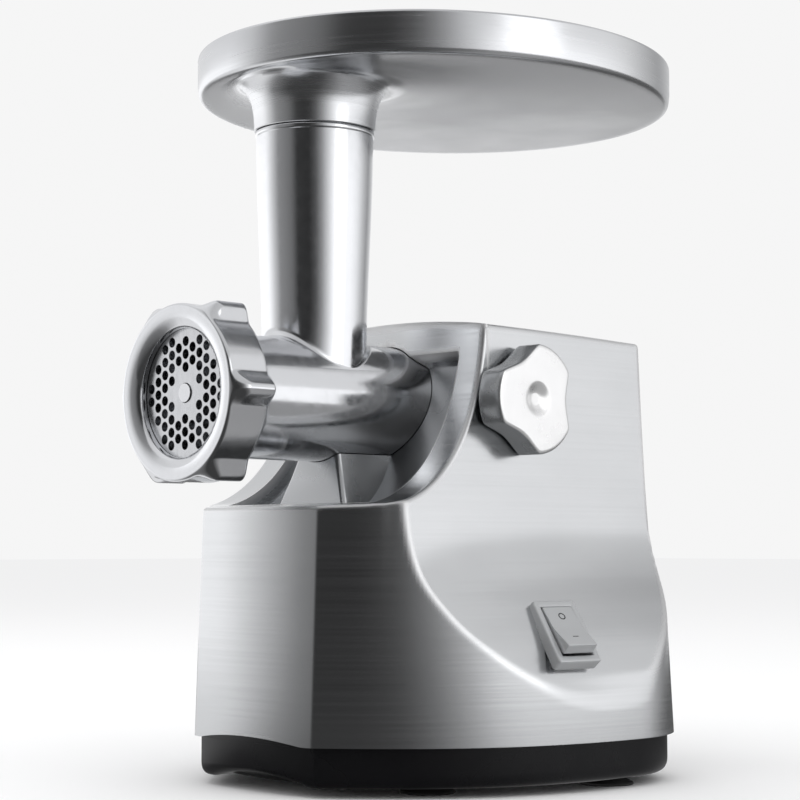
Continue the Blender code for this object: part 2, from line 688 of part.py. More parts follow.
def hopper_tray():
    flat, top = TRAY_BOTTOM, TRAY_TOP
    tray = tray_form("hopper_tray", [(4, flat), (1.2, flat + 1.2), (0, flat + 4), (0, top - 4),
                                     (1, top - 1.2), (3, top)], CAST)
    neck_r = TUBE_TOP_R - TUBE_WALL - 2 * GAP
    flare = bezier((36, flat + 1), (30, flat - 4), (27.6, flat - 10), (27.2, TUBE_TOP + 0.4), 6)
    neck = turned("tray_neck", [(0, flat + 1)] + flare + [(neck_r, TUBE_TOP + 0.4), (neck_r - 1, TUBE_TOP - 14),
                                                         (0, TUBE_TOP - 14)])
    combine(tray, neck, "UNION")
    dish = tray_form("tray_dish", [(8, flat + TRAY_WALL), (4.2, flat + 5), (3.4, top - 3), (3.4, top + 5)])
    mouth = bezier((33, flat + 3), (27, flat + 1), (23, flat - 4), (neck_r - 2, TUBE_TOP), 6)
    throat = turned("tray_throat", [(0, flat + 3)] + mouth + [(neck_r - 2, TUBE_TOP - 20), (0, TUBE_TOP - 20)])
    combine(tray, dish)
    return combine(tray, throat)


# ---------------------------------------------------------------- drive

def gear_outline(teeth, first_tooth=0.0):
    """Spur gear teeth with straight flanks; first_tooth is the angle of one tooth, in degrees."""
    pitch_r = MODULE * teeth / 2
    root, tip = pitch_r - 1.1 * MODULE, pitch_r + 0.75 * MODULE
    step = 360 / teeth
    points = []
    for i in range(teeth):
        middle = first_tooth + i * step
        for radius, share in ((root, -0.27), (tip, -0.12), (tip, 0.12), (root, 0.27)):
            a = math.radians(middle + share * step)
            points.append((radius * math.cos(a), radius * math.sin(a)))
    return points


def layer(index):
    """Front and back heights of one gear layer inside the gearbox, on an axis to the front."""
    front = -(GEARBOX_FRONT + 4.5) - index * (GEAR_WIDTH + 1)
    return front - GEAR_WIDTH, front


def output_drive():
    low, high = layer(0)
    tooth_down = -90 + 180 / OUTPUT_TEETH
    wheel = prism("output_drive", gear_outline(OUTPUT_TEETH, tooth_down), low, high, STEEL, turn=TO_FRONT)
    combine(wheel, rod("output_shaft", 10.0, low - 0.6, -55, turn=TO_FRONT), "UNION")
    return combine(wheel, rod("output_socket", 5.2, -72, -50, turn=TO_FRONT, sides=6))


def gear_pair(name, z, small, small_layer, small_tooth, large, large_layer, large_tooth):
    low, high = layer(small_layer)
    pair = prism(name, gear_outline(small, small_tooth), low - 3, high, NYLON, place=(0, 0, z), turn=TO_FRONT)
    low, high = layer(large_layer)
    large_wheel = prism(name + "_large", gear_outline(large, large_tooth), low, high, place=(0, 0, z),
                        turn=TO_FRONT)
    combine(pair, large_wheel, "UNION")
    return combine(pair, rod(name + "_bore", 3.3, low - 9, 0, place=(0, 0, z), turn=TO_FRONT, sides=16))


def gears():
    output_drive()
    gear_pair("second_gear", SECOND_Z, SECOND_SMALL_TEETH, 0, 90,
              SECOND_TEETH, 1, -90 + 180 / SECOND_TEETH)
    gear_pair("first_gear", FIRST_Z, FIRST_SMALL_TEETH, 1, 90,
              FIRST_TEETH, 2, -90 + 180 / FIRST_TEETH)


def gear_axles():
    for name, z in (("first_axle", FIRST_Z), ("second_axle", SECOND_Z)):
        rod(name, 3.0, -GEARBOX_BACK + GAP, -GEARBOX_FRONT - 3.3, STEEL, place=(0, 0, z), turn=TO_FRONT,
            sides=16)


def gearbox_housing():
    top, bottom, half = 30.5, MOTOR_Z - 16, 32.0
    case = block("gearbox_housing", (-half, GEARBOX_FRONT, bottom), (half, GEARBOX_BACK, top), LAMINATION)
    combine(case, block("gearbox_room", (-half + 3, GEARBOX_FRONT + 3, bottom + 3),
                        (half - 3, GEARBOX_BACK + 9, top - 2.5)))
    combine(case, rod("output_hole", 10.3, -GEARBOX_FRONT - 9, -GEARBOX_FRONT + 9, turn=TO_FRONT))
    return combine(case, rod("rotor_hole", 5.3, -GEARBOX_FRONT - 9, -GEARBOX_FRONT + 9,
                             place=(0, 0, MOTOR_Z), turn=TO_FRONT))


def gearbox_cover():
    top, bottom, half = 30.5, MOTOR_Z - 16, 32.0
    return block("gearbox_cover", (-half, GEARBOX_BACK + GAP, bottom), (half, GEARBOX_BACK + 3.3, top),
                 LAMINATION)


def head_socket():
    back = -GEARBOX_FRONT + GAP
    front = -BARREL_BACK - GAP
    profile = [(26.6, front), (26.6, back + 6), (30, back + 3), (30, back), (SPIGOT_R + GAP, back),
               (SPIGOT_R + GAP, front)]
    socket = turned("head_socket", profile, CAST, turn=TO_FRONT, ring=True)
    return combine(socket, rod("pin_hole", 4.8, 10, 40, place=(0, KNOB_Y, 0), turn=TO_RIGHT, sides=16))


def motor_stator():
    half, bore, cut = 33.0, 20.6, 12.0
    outline = [(half, -half + cut), (half, half - cut), (half - cut, half), (-half + cut, half),
               (-half, half - cut), (-half, -half + cut), (-half + cut, -half), (half - cut, -half)]
    stator = prism("motor_stator", outline, -50, -5, LAMINATION, place=(0, 0, MOTOR_Z), turn=TO_FRONT)
    return combine(stator, rod("stator_bore", bore, -60, 5, place=(0, 0, MOTOR_Z), turn=TO_FRONT))


def rotor():
    low, _ = layer(2)
    profile = [(0, 24), (4, 24), (4, -6), (20, -6), (20, -49), (4, -49), (4, -54), (11, -54), (11, -68),
               (4, -68), (4, low + 9), (0, low + 9)]
    spinning = turned("motor_rotor", profile, COPPER, place=(0, 0, MOTOR_Z), turn=TO_FRONT)
    pinion = prism("pinion", gear_outline(PINION_TEETH, 90), low, low + GEAR_WIDTH + 6, place=(0, 0, MOTOR_Z),
                   turn=TO_FRONT)
    return combine(spinning, pinion, "UNION")


def motor_fan():
    blades = 9
    hub = turned("motor_fan", [(30, 14), (30, 11.5), (4.3, 11.5), (4.3, 14)], DARK, place=(0, 0, MOTOR_Z),
                 turn=TO_FRONT, sides=SMALL_ROUND, ring=True)
    for i in range(blades):
        a = 2 * math.pi * i / blades
        blade = block("fan_blade_%d" % i, (9, -0.9, 13), (28, 0.9, 22), place=(0, 0, MOTOR_Z))
        blade.rotation_euler = (math.pi / 2, a, 0)
        combine(hub, blade, "UNION")
    return hub


def brush_holders():
    for name, side in (("brush_holder_right", 1), ("brush_holder_left", -1)):
        near, far = sorted((side * 11.4, side * 30))
        block(name, (near, 57, MOTOR_Z - 5), (far, 65, MOTOR_Z + 5), DARK)


def motor_bracket():
    y = -3.0
    plate = block("motor_bracket", (-40, y, HOUSING_BOTTOM + 6), (40, y + 3, MOTOR_Z + 34), LAMINATION)
    return combine(plate, rod("bracket_hole", 4.4, -10, 20, place=(0, 0, MOTOR_Z), turn=TO_FRONT))


def control_board():
    return block("control_board", (-40, 118, -100), (40, 119.6, -40), BOARD)


body_shell()
saddle_liner()
rear_vent_panel()
cord_gland()
base_tub()
feet()
base_screws()
switch_housing()
switch_rocker()
lock_knob()
lock_pin()
grinder_head()
ring_nut()
grinding_plate()
cross_knife()
auger()
auger_bush()
hopper_tray()
gears()
gear_axles()
gearbox_housing()
gearbox_cover()
head_socket()
motor_stator()
rotor()
motor_fan()
brush_holders()
motor_bracket()
control_board()
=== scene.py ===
import math
import bmesh
import bpy
from mathutils import Matrix, Vector


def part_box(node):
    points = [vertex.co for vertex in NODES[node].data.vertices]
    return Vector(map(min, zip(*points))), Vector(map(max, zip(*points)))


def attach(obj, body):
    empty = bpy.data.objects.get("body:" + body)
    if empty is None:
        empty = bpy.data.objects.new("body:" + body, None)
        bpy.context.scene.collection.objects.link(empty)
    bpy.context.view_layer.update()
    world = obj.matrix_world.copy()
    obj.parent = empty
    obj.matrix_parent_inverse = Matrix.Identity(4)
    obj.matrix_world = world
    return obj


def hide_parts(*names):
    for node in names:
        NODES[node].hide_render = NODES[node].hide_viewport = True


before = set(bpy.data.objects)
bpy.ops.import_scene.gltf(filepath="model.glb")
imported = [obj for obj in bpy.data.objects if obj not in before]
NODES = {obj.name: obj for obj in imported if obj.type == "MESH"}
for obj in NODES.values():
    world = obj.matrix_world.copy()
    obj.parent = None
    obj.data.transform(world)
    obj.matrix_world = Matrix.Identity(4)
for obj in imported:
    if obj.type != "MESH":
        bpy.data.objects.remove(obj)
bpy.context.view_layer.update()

# ------------------------- camera and studio
# The grinder stands on a plain pale table in a white studio, seen from low at its front right. Soft boxes
# light it. Bands of light and dark round it, seen only in reflections, stand for the studio's panels and
# cloths, which give polished metal its shading.
CAMERA_PLACE = (0.67556, -0.64258, 0.1058)
CAMERA_TURN, CAMERA_PITCH, LENS, SENSOR = math.radians(46.68), math.radians(4.15), 90, 36
PAPER_WHITE, TABLE_HALF = (0.95, 0.95, 0.955), 12.0
ROOM_LIGHT = 0.92
ROOM_R, CEILING_R, WALL_SPLIT, WALL_HEIGHT, ROOM_HEIGHT = 2.0, 1.9, 0.7, 1.7, 2.1
NEAR_TABLE_R, TABLE_LIFT = 1.44, 0.001
LIGHT_AIM = (0, 0, 0.15)
BRIGHTEST, HIGH_WALL_MOST = 1.25, 0.8
WALLS = ((-180, 0.35), (-155, 0.7), (-133, 1.1), (-85, 1.25), (-61, 1.25), (-43, 0.7), (-27, 0.28),
         (-13, 0.23), (1, 0.17), (13, 0.04), (37, 0.03), (49, 0.09), (61, 0.3), (73, 0.7), (85, 1.2),
         (127, 1.2), (143, 1.0), (163, 0.58), (180, 0.35))
NEAR_TABLE = ((-180, 0.10), (-120, 0.13), (-98, 0.30), (-82, 0.85), (-50, 0.85), (-30, 0.2), (0, 0.05),
              (50, 0.05), (70, 0.15), (95, 0.35), (130, 0.30), (160, 0.12), (180, 0.10))
CEILING = ((-180, 0.65), (-60, 0.85), (40, 0.55), (120, 0.60), (180, 0.65))

view = bpy.data.cameras.new("camera")
view.lens, view.sensor_width = LENS, SENSOR
camera = bpy.data.objects.new("camera", view)
bpy.context.scene.collection.objects.link(camera)
camera.location = CAMERA_PLACE
ahead = Vector((-math.sin(CAMERA_TURN) * math.cos(CAMERA_PITCH),
                math.cos(CAMERA_TURN) * math.cos(CAMERA_PITCH), math.sin(CAMERA_PITCH)))
camera.rotation_euler = ahead.to_track_quat("-Z", "Y").to_euler()
bpy.context.scene.camera = camera
bpy.context.scene.view_settings.view_transform = "Standard"

room = bpy.data.worlds.new("white_room")
room.use_nodes = True
room.node_tree.nodes["Background"].inputs["Color"].default_value = (1.0, 1.0, 1.0, 1)
room.node_tree.nodes["Background"].inputs["Strength"].default_value = ROOM_LIGHT
room.cycles.sampling_method = "NONE"
bpy.context.scene.world = room

pale = bpy.data.materials.new("pale_table")
pale.use_nodes = True
for socket, value in (("Base Color", (*PAPER_WHITE, 1)), ("Roughness", 0.6), ("Specular IOR Level", 0.0)):
    pale.node_tree.nodes["Principled BSDF"].inputs[socket].default_value = value
table_mesh = bpy.data.meshes.new("table")
table_mesh.from_pydata([(x * TABLE_HALF, y * TABLE_HALF, 0) for x, y in ((-1, -1), (1, -1), (1, 1), (-1, 1))],
                       [], [(0, 1, 2, 3)])
table_mesh.materials.append(pale)
table = bpy.data.objects.new("table", table_mesh)
bpy.context.scene.collection.objects.link(table)


def round_about(azimuth, distance, height):
    """A place in the room: azimuth 0 is straight in front, 90 is at the switch's side."""
    a = math.radians(azimuth)
    return Vector((math.sin(a) * distance, -math.cos(a) * distance, height))


def wall_light(name, stops_round):
    """A glow that varies round the room, from (azimuth, brightness) stops."""
    paint = bpy.data.materials.new(name)
    paint.use_nodes = True
    tree = paint.node_tree
    tree.nodes.remove(tree.nodes["Principled BSDF"])
    where, split = tree.nodes.new("ShaderNodeTexCoord"), tree.nodes.new("ShaderNodeSeparateXYZ")
    flip, angle = tree.nodes.new("ShaderNodeMath"), tree.nodes.new("ShaderNodeMath")
    flip.operation, angle.operation = "MULTIPLY", "ARCTAN2"
    flip.inputs[1].default_value = -1
    spread, ramp = tree.nodes.new("ShaderNodeMapRange"), tree.nodes.new("ShaderNodeValToRGB")
    spread.inputs["From Min"].default_value, spread.inputs["From Max"].default_value = -math.pi, math.pi
    glow = tree.nodes.new("ShaderNodeEmission")
    glow.inputs["Strength"].default_value = BRIGHTEST
    stops = ramp.color_ramp.elements
    while len(stops) > 1:
        stops.remove(stops[-1])
    for i, (azimuth, bright) in enumerate(stops_round):
        stop = stops[0] if i == 0 else stops.new((azimuth + 180) / 360)
        stop.position = (azimuth + 180) / 360
        stop.color = (bright / BRIGHTEST, bright / BRIGHTEST, bright * 1.01 / BRIGHTEST, 1)
    for a, b in ((where.outputs["Object"], split.inputs[0]), (split.outputs["X"], angle.inputs[0]),
                 (split.outputs["Y"], flip.inputs[0]), (flip.outputs[0], angle.inputs[1]),
                 (angle.outputs[0], spread.inputs["Value"]), (spread.outputs[0], ramp.inputs[0]),
                 (ramp.outputs["Color"], glow.inputs["Color"]),
                 (glow.outputs[0], tree.nodes["Material Output"].inputs["Surface"])):
        tree.links.new(a, b)
    return paint


def circle(count):
    """Equal steps round a circle of radius 1."""
    return [(math.cos(2 * math.pi * i / count), math.sin(2 * math.pi * i / count)) for i in range(count)]


def room_band(name, paint, rings, count=96):
    """A turned band of the room, between (radius, height) pairs in metres, that only reflections see."""
    mesh = bpy.data.meshes.new(name)
    points = [(r * x, r * y, z) for r, z in rings for x, y in circle(count)]
    faces = [(k + i, k + (i + 1) % count, k + count + (i + 1) % count, k + count + i)
             for k in range(0, count * (len(rings) - 1), count) for i in range(count)]
    mesh.from_pydata(points, [], faces)
    mesh.materials.append(paint)
    made = bpy.data.objects.new(name, mesh)
    bpy.context.scene.collection.objects.link(made)
    made.visible_camera = made.visible_diffuse = made.visible_shadow = made.visible_transmission = False


def soft_box(name, azimuth, distance, height, wide, tall, power, reflected):
    """A large soft light, aimed at the middle of the grinder."""
    lamp = bpy.data.lights.new(name, "AREA")
    lamp.shape, lamp.size, lamp.size_y, lamp.energy = "RECTANGLE", wide, tall, power
    made = bpy.data.objects.new(name, lamp)
    made.location = round_about(azimuth, distance, height)
    made.rotation_euler = (Vector(LIGHT_AIM) - made.location).to_track_quat("-Z", "Y").to_euler()
    made.visible_glossy = reflected
    bpy.context.scene.collection.objects.link(made)


walls = wall_light("wall_light", WALLS)
high_walls = wall_light("high_wall_light", [(turn, min(bright, HIGH_WALL_MOST)) for turn, bright in WALLS])
room_band("walls", walls, ((ROOM_R, -0.02), (ROOM_R, WALL_SPLIT)))
room_band("high_walls", high_walls, ((ROOM_R, WALL_SPLIT), (ROOM_R, 1.1), (CEILING_R, WALL_HEIGHT)))
room_band("ceiling", wall_light("ceiling_light", CEILING), ((CEILING_R, WALL_HEIGHT), (0.001, ROOM_HEIGHT)))
room_band("near_table", wall_light("table_light", NEAR_TABLE),
          ((0.02, TABLE_LIFT), (NEAR_TABLE_R, TABLE_LIFT)))
room_band("far_table", walls, ((NEAR_TABLE_R, TABLE_LIFT), (ROOM_R, TABLE_LIFT)))
soft_box("key", -62, 1.6, 0.9, 0.8, 1.2, 3, False)
soft_box("fill", 100, 1.8, 0.8, 0.8, 1.2, 2, True)
soft_box("top", 20, 0.5, 1.9, 1.4, 1.4, 7, False)

# ------------------------- housing
# The housing is a brushed metal skin over the motor and gearbox, pressed as one hollow shell. It leans in
# towards the top, a leaf-shaped flat is let into each side for the controls, and the front is scooped out
# into a saddle for the grinding head. Its edges are rounded off, and above the foot they are made rougher
# and painted lighter, a painted highlight.
MM = 0.001
BARREL_BEHIND = 74                                       # from the tube's axis to the barrel's rear end
plate_low, plate_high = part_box("grinding_plate")
AXES = Vector((0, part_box("grinder_head")[1].y - BARREL_BEHIND * MM, (plate_low.z + plate_high.z) / 2))
HOUSING_BOTTOM, HOUSING_TOP, PLAN_TOP = -148.5, 38.0, 48.0
CROWN_DROP, REAR_DROP, CROWN_HALF, CROWN_EDGE, BELOW_CROWN = 4.4, 3.0, 63, 33, 34
FLANK_X, REAR_Y = 40.0, 140.0
SKIN, GAP = 2.4, 0.3
EDGE, CREASE = 1.7, 1.0                                  # roundness of the shell's edges and the leaf's
NOSE_BOW = 4.4
NOSE = ((39.6, -35.2), (38.6, -28.6))                    # at the foot and at PLAN_TOP
FLANK = (((39.6, -35.2), (79, -3), (105.5, 30), (106.4, 100)),
         ((38.6, -28.6), (78, 0), (94, 32), (95.0, 99)))
CORNER = (56.0, 55.0)
REAR_BOW, ROUND = 1.5, 0.5523                            # ROUND makes a cubic curve a quarter circle
NOSE_EDGE = (0.972, 0.010)                               # the nose corner's share of the front and the flank
LEAF = ((33.6, 63, 63), (12, 63.4, 63.6), (-10, 64, 64.5), (-45, 65.8, 67), (-63, 67.2, 71), (-77, 68.4, 81),
        (-91.5, 71, 97), (-106.5, 74.5, 112), (-118, 79, 117.5), (-126, 83.5, 118), (-134, 89, 118),
        (-142, 98, 121), (-152, 112, 128))
LEAF_SPREAD, LEAF_FRONT, LEAF_LENGTH = 0.66, -40.0, 205.0
LEDGE, LEDGE_Z, LEDGE_RISE = (-90, -50.5), -47.6, (-0.05, 1)
SADDLE = ((-12, -46.5), (17, -42), (41, -14), (45, 36))
SADDLE_STEPS, WALL_Y, TOP_START, TOP_END, NO_CEILING = 84, 45.0, 45.7, 98.5, 99.0
RECESS_HALF, RECESS_DEPTH, RECESS_TOP, RECESS_FRONT = 48.0, 10.8, 20.0, -8.0
RECESS_BAND = (50.4, 45.4)                               # closely spaced points cross the recess's side wall
LINED = RECESS_DEPTH + SKIN + GAP
ARCH_HALF, ARCH_RISE = 34.0, 2.7
SWITCH_CENTRE, SWITCH_LEAN, SWITCH_SWING = Vector((92.4, 61.9, -103.4)), 37.0, 9.0
SWITCH_HOLE, VENT_HOLE, VENT_CENTRE = (10.2, 14.2), (45.5, 49.5), (0, 155, -60)
KNOB_Y, SOCKET_R = 62.0, 27.3
X_AXIS, Y_AXIS, Z_AXIS = Matrix.Identity(3)


def place(points):
    """Millimetres from the crossing of the tube's and barrel's axes, as places in metres."""
    return [AXES + Vector(p) * MM for p in points]


def cubic(a, b, c, d, t):
    """A point on one cubic curve."""
    s = 1 - t
    return Vector([s ** 3 * p + 3 * s * s * t * q + 3 * s * t * t * r + t ** 3 * w
                   for p, q, r, w in zip(a, b, c, d)])


def blend(low, high, x):
    """0 below low, 1 above high and a smooth step between."""
    t = min(max((x - low) / (high - low), 0.0), 1.0)
    return t * t * (3 - 2 * t)


def soft_min(a, b, width):
    """The smaller of two numbers, rounded where they cross."""
    h = max(width - abs(a - b), 0.0) / width
    return min(a, b) - h * h * width / 4


def eased(points, steps=5):
    """A line of (a, b, radius) points with its corners rounded."""
    flat = [Vector(p[:2]) for p in points]
    line = []
    for i, p in enumerate(points):
        radius = p[2] if len(p) > 2 else 0
        here = flat[i]
        if radius == 0 or i in (0, len(points) - 1):
            line.append(tuple(here))
            continue
        before, after = flat[i - 1] - here, flat[i + 1] - here
        cut = min(radius, before.length * 0.48, after.length * 0.48)
        a, b = here + before.normalized() * cut, here + after.normalized() * cut
        for k in range(steps + 1):
            t = k / steps
            line.append(tuple(a * (1 - t) ** 2 + here * 2 * t * (1 - t) + b * t * t))
    return line


def finished(made, mesh, look, sharp=35):
    """Give a mesh its finish and smooth shading that stops at sharp edges, and put it in the scene."""
    mesh.materials.clear()
    mesh.materials.append(look.material)
    mesh.shade_smooth()
    mesh.set_sharp_from_angle(angle=math.radians(sharp))
    if made.name not in bpy.context.scene.collection.objects:
        bpy.context.scene.collection.objects.link(made)
    return made


def skin(name, rings, look, caps=(), loop=False, sharp=35):
    """One surface through equal rings of points. caps closes the first (0) or last (1) ring."""
    shape = bmesh.new()
    rows = [[shape.verts.new(p) for p in place(ring)] for ring in rings]
    if loop:
        rows.append(rows[0])
    count = len(rows[0])
    for near, far in zip(rows, rows[1:]):
        for i in range(count):
            shape.faces.new((near[i - 1], near[i], far[i], far[i - 1]))
    for end in caps:
        shape.faces.new(rows[-1 if end else 0])
    bmesh.ops.remove_doubles(shape, verts=shape.verts, dist=2e-6)
    bmesh.ops.recalc_face_normals(shape, faces=shape.faces)
    mesh = bpy.data.meshes.new(name)
    shape.to_mesh(mesh)
    shape.free()
    return finished(bpy.data.objects.new(name, mesh), mesh, look, sharp)


def machined(piece, look, cut, join=(), sharp=35):
    """Join some tools to a piece, cut others out of it, and leave one plain mesh."""
    for tool in (*join, *cut):
        change = piece.modifiers.new(tool.name, "BOOLEAN")
        change.operation = "UNION" if tool in join else "DIFFERENCE"
        change.object, change.solver = tool, "EXACT"
    graph = bpy.context.evaluated_depsgraph_get()
    mesh = bpy.data.meshes.new_from_object(piece.evaluated_get(graph))
    piece.modifiers.clear()
    piece.data = mesh
    for tool in (*join, *cut):
        bpy.data.objects.remove(tool, do_unlink=True)
    finished(piece, mesh, look, sharp)


def spin(profile, sides, centre=(0, 0, 0), out=(0, -1, 0), reach=None):
    """Rings of a (radius, height) profile turned about an axis that points out."""
    out = Vector(out)
    u = Vector((1, 0, 0)) if abs(out.x) < 0.5 else Vector((0, 1, 0))
    v = out.cross(u)
    rings = []
    for r, h in profile:
        ring = []
        for i in range(sides):
            a = 2 * math.pi * i / sides
            here = reach(r, h, a) if reach else r
            ring.append(Vector(centre) + out * h + (u * math.cos(a) + v * math.sin(a)) * here)
        rings.append(ring)
    return rings


class Finish:
    """A node material: grain is drawn from a point's own place in metres, and the painted edge highlight from
    its pointiness and height.
    """

    def __init__(self, name, colour, metallic, roughness, **sockets):
        self.material = bpy.data.materials.new(name)
        self.material.use_nodes = True
        self.tree = self.material.node_tree
        self.shader = self.tree.nodes["Principled BSDF"]
        self.colour = colour
        self.shader.inputs["Base Color"].default_value = (*colour, 1)
        self.shader.inputs["Metallic"].default_value = metallic
        self.shader.inputs["Roughness"].default_value = roughness
        for socket, value in sockets.items():
            self.shader.inputs[socket.replace("_", " ")].default_value = value
        self.where = self.node("TexCoord").outputs["Object"]
        self.normal = None

    def node(self, kind, **values):
        made = self.tree.nodes.new("ShaderNode" + kind)
        for key, value in values.items():
            setattr(made, key, value)
        return made

    def link(self, a, b):
        self.tree.links.new(a, b)

    def grain(self, scale, detail=4, sharpness=0.5, stretch=(1, 1, 1)):
        """Noise, finer along an axis with a larger stretch."""
        mapping = self.node("Mapping")
        mapping.inputs["Scale"].default_value = stretch
        noise = self.node("TexNoise")
        for socket, value in (("Scale", scale), ("Detail", detail), ("Roughness", sharpness)):
            noise.inputs[socket].default_value = value
        self.link(self.where, mapping.inputs["Vector"])
        self.link(mapping.outputs["Vector"], noise.inputs["Vector"])
        return noise.outputs["Fac"]

    def spread(self, value, low, high, start=0.3, end=0.7):
        """Noise as a value between low and high."""
        spread = self.node("MapRange")
        for socket, number in (("From Min", start), ("From Max", end), ("To Min", low), ("To Max", high)):
            spread.inputs[socket].default_value = number
        self.link(value, spread.inputs["Value"])
        return spread.outputs["Result"]

    def mixed(self, kind, share, start, end):
        """A number or colour that gives way to another; start may be another node's output."""
        mix = self.node("Mix", data_type=kind)
        wanted = "RGBA" if kind == "RGBA" else "VALUE"
        first, second = [s for s in mix.inputs if s.type == wanted][-2:]
        if isinstance(start, bpy.types.NodeSocket):
            self.link(start, first)
        else:
            first.default_value = start
        second.default_value = end
        self.link(share, mix.inputs[0])
        return [s for s in mix.outputs if s.type == wanted][0]

    def dull(self, value, low, high):
        """Vary the roughness."""
        self.link(self.spread(value, low, high), self.shader.inputs["Roughness"])

    def tint(self, value, other, start=0.3, end=0.7):
        """Vary the colour towards another one."""
        colour = self.mixed("RGBA", self.spread(value, 0, 1, start, end), (*self.colour, 1), (*other, 1))
        self.link(colour, self.shader.inputs["Base Color"])

    def painted_edge_highlight(self, roughness, colour, foot, corner=(0.505, 0.54)):
        """Above a height, make the outer corners duller and paint them lighter, a painted highlight."""
        edge = self.spread(self.node("NewGeometry").outputs["Pointiness"], 0, 1, *corner)
        split, above = self.node("SeparateXYZ"), self.node("Math", operation="MULTIPLY")
        self.link(self.where, split.inputs[0])
        self.link(edge, above.inputs[0])
        self.link(self.spread(split.outputs["Z"], 0, 1, foot, foot + 1.5 * MM), above.inputs[1])
        for kind, socket, highlit in (("FLOAT", "Roughness", roughness), ("RGBA", "Base Color", (*colour, 1))):
            before = self.shader.inputs[socket].links[0].from_socket
            self.link(self.mixed(kind, above.outputs[0], before, highlit), self.shader.inputs[socket])

    def bump(self, value, height, strength=1.0):
        """Raise the surface by a height in metres."""
        bump = self.node("Bump")
        bump.inputs["Distance"].default_value = height
        bump.inputs["Strength"].default_value = strength
        self.link(value, bump.inputs["Height"])
        if self.normal:
            self.link(self.normal, bump.inputs["Normal"])
        self.normal = bump.outputs["Normal"]
        self.link(self.normal, self.shader.inputs["Normal"])


brushed = Finish("brushed_steel_skin", (0.64, 0.65, 0.66), 1.0, 0.22)
lines = brushed.grain(1.0, 6, 0.65, stretch=(5, 5, 900))
brushed.dull(lines, 0.17, 0.27)
brushed.tint(brushed.grain(14, 3, stretch=(1, 1, 2)), (0.68, 0.69, 0.70))
brushed.bump(lines, 0.00002, 0.35)
# Painted highlight: the outer edges above the foot are painted lighter, as well as made rougher.
brushed.painted_edge_highlight(0.6, (0.88, 0.88, 0.88), AXES.z + (HOUSING_BOTTOM + 2.5) * MM)


def leaf_x(y, z):
    """Half width of the leaf-shaped flat at a place on the side."""
    z = min(max(z, LEAF[-1][0]), LEAF[0][0])
    i = next(k for k in range(len(LEAF) - 1) if LEAF[k + 1][0] <= z)
    spread = LEAF_SPREAD * math.sin(1.1 * min(max((y - LEAF_FRONT) / LEAF_LENGTH, 0), 1) * math.pi / 2)

    def width(k):
        return LEAF[k][1] + (LEAF[k][2] - LEAF[k][1]) * spread

    def slope(k):
        a, b = max(k - 1, 0), min(k + 1, len(LEAF) - 1)
        return (width(b) - width(a)) / (LEAF[b][0] - LEAF[a][0])

    span = LEAF[i + 1][0] - LEAF[i][0]
    t = (z - LEAF[i][0]) / span
    return ((2 * t ** 3 - 3 * t ** 2 + 1) * width(i) + (t ** 3 - 2 * t ** 2 + t) * span * slope(i)
            + (3 * t ** 2 - 2 * t ** 3) * width(i + 1) + (t ** 3 - t ** 2) * span * slope(i + 1))


def share_up(z):
    """How far a height is from the housing's foot to the level of its upper plan."""
    return (z - HOUSING_BOTTOM) / (PLAN_TOP - HOUSING_BOTTOM)


def crown(x, y):
    """Height of the housing's top."""
    share = (y - LEAF_FRONT) / LEAF_LENGTH
    return HOUSING_TOP - REAR_DROP * max(share, 0) ** 3 - CROWN_DROP * (x / CROWN_HALF) ** 2


def saddle_at(t):
    """A place on the saddle's side view, and the direction of the curve there."""
    step = cubic(*SADDLE, min(t + 0.01, 1)) - cubic(*SADDLE, min(t + 0.01, 1) - 0.01)
    return cubic(*SADDLE, t), step.normalized()


def spine():
    """Side view of the top from the nose to the flank's end: (y, height or None for the crown, normal)."""
    slope = (SADDLE[0][1] - LEDGE[1]) / (SADDLE[0][0] - LEDGE[0])
    points = []
    for i in range(16):
        y = -34 + 22 * i / 16
        points.append((y, LEDGE[1] + (y - LEDGE[0]) * slope, LEDGE_RISE))
    for i in range(SADDLE_STEPS + 1):
        t = i / SADDLE_STEPS
        t = t + 0.06 * math.sin(2 * math.pi * t)
        here, step = saddle_at(t)
        points.append((here[0], here[1], (-step[1], step[0])))
    for i in range(37):
        points.append((TOP_START + (TOP_END - TOP_START) * (i / 36) ** 1.1, None, (0, 1)))
    return points


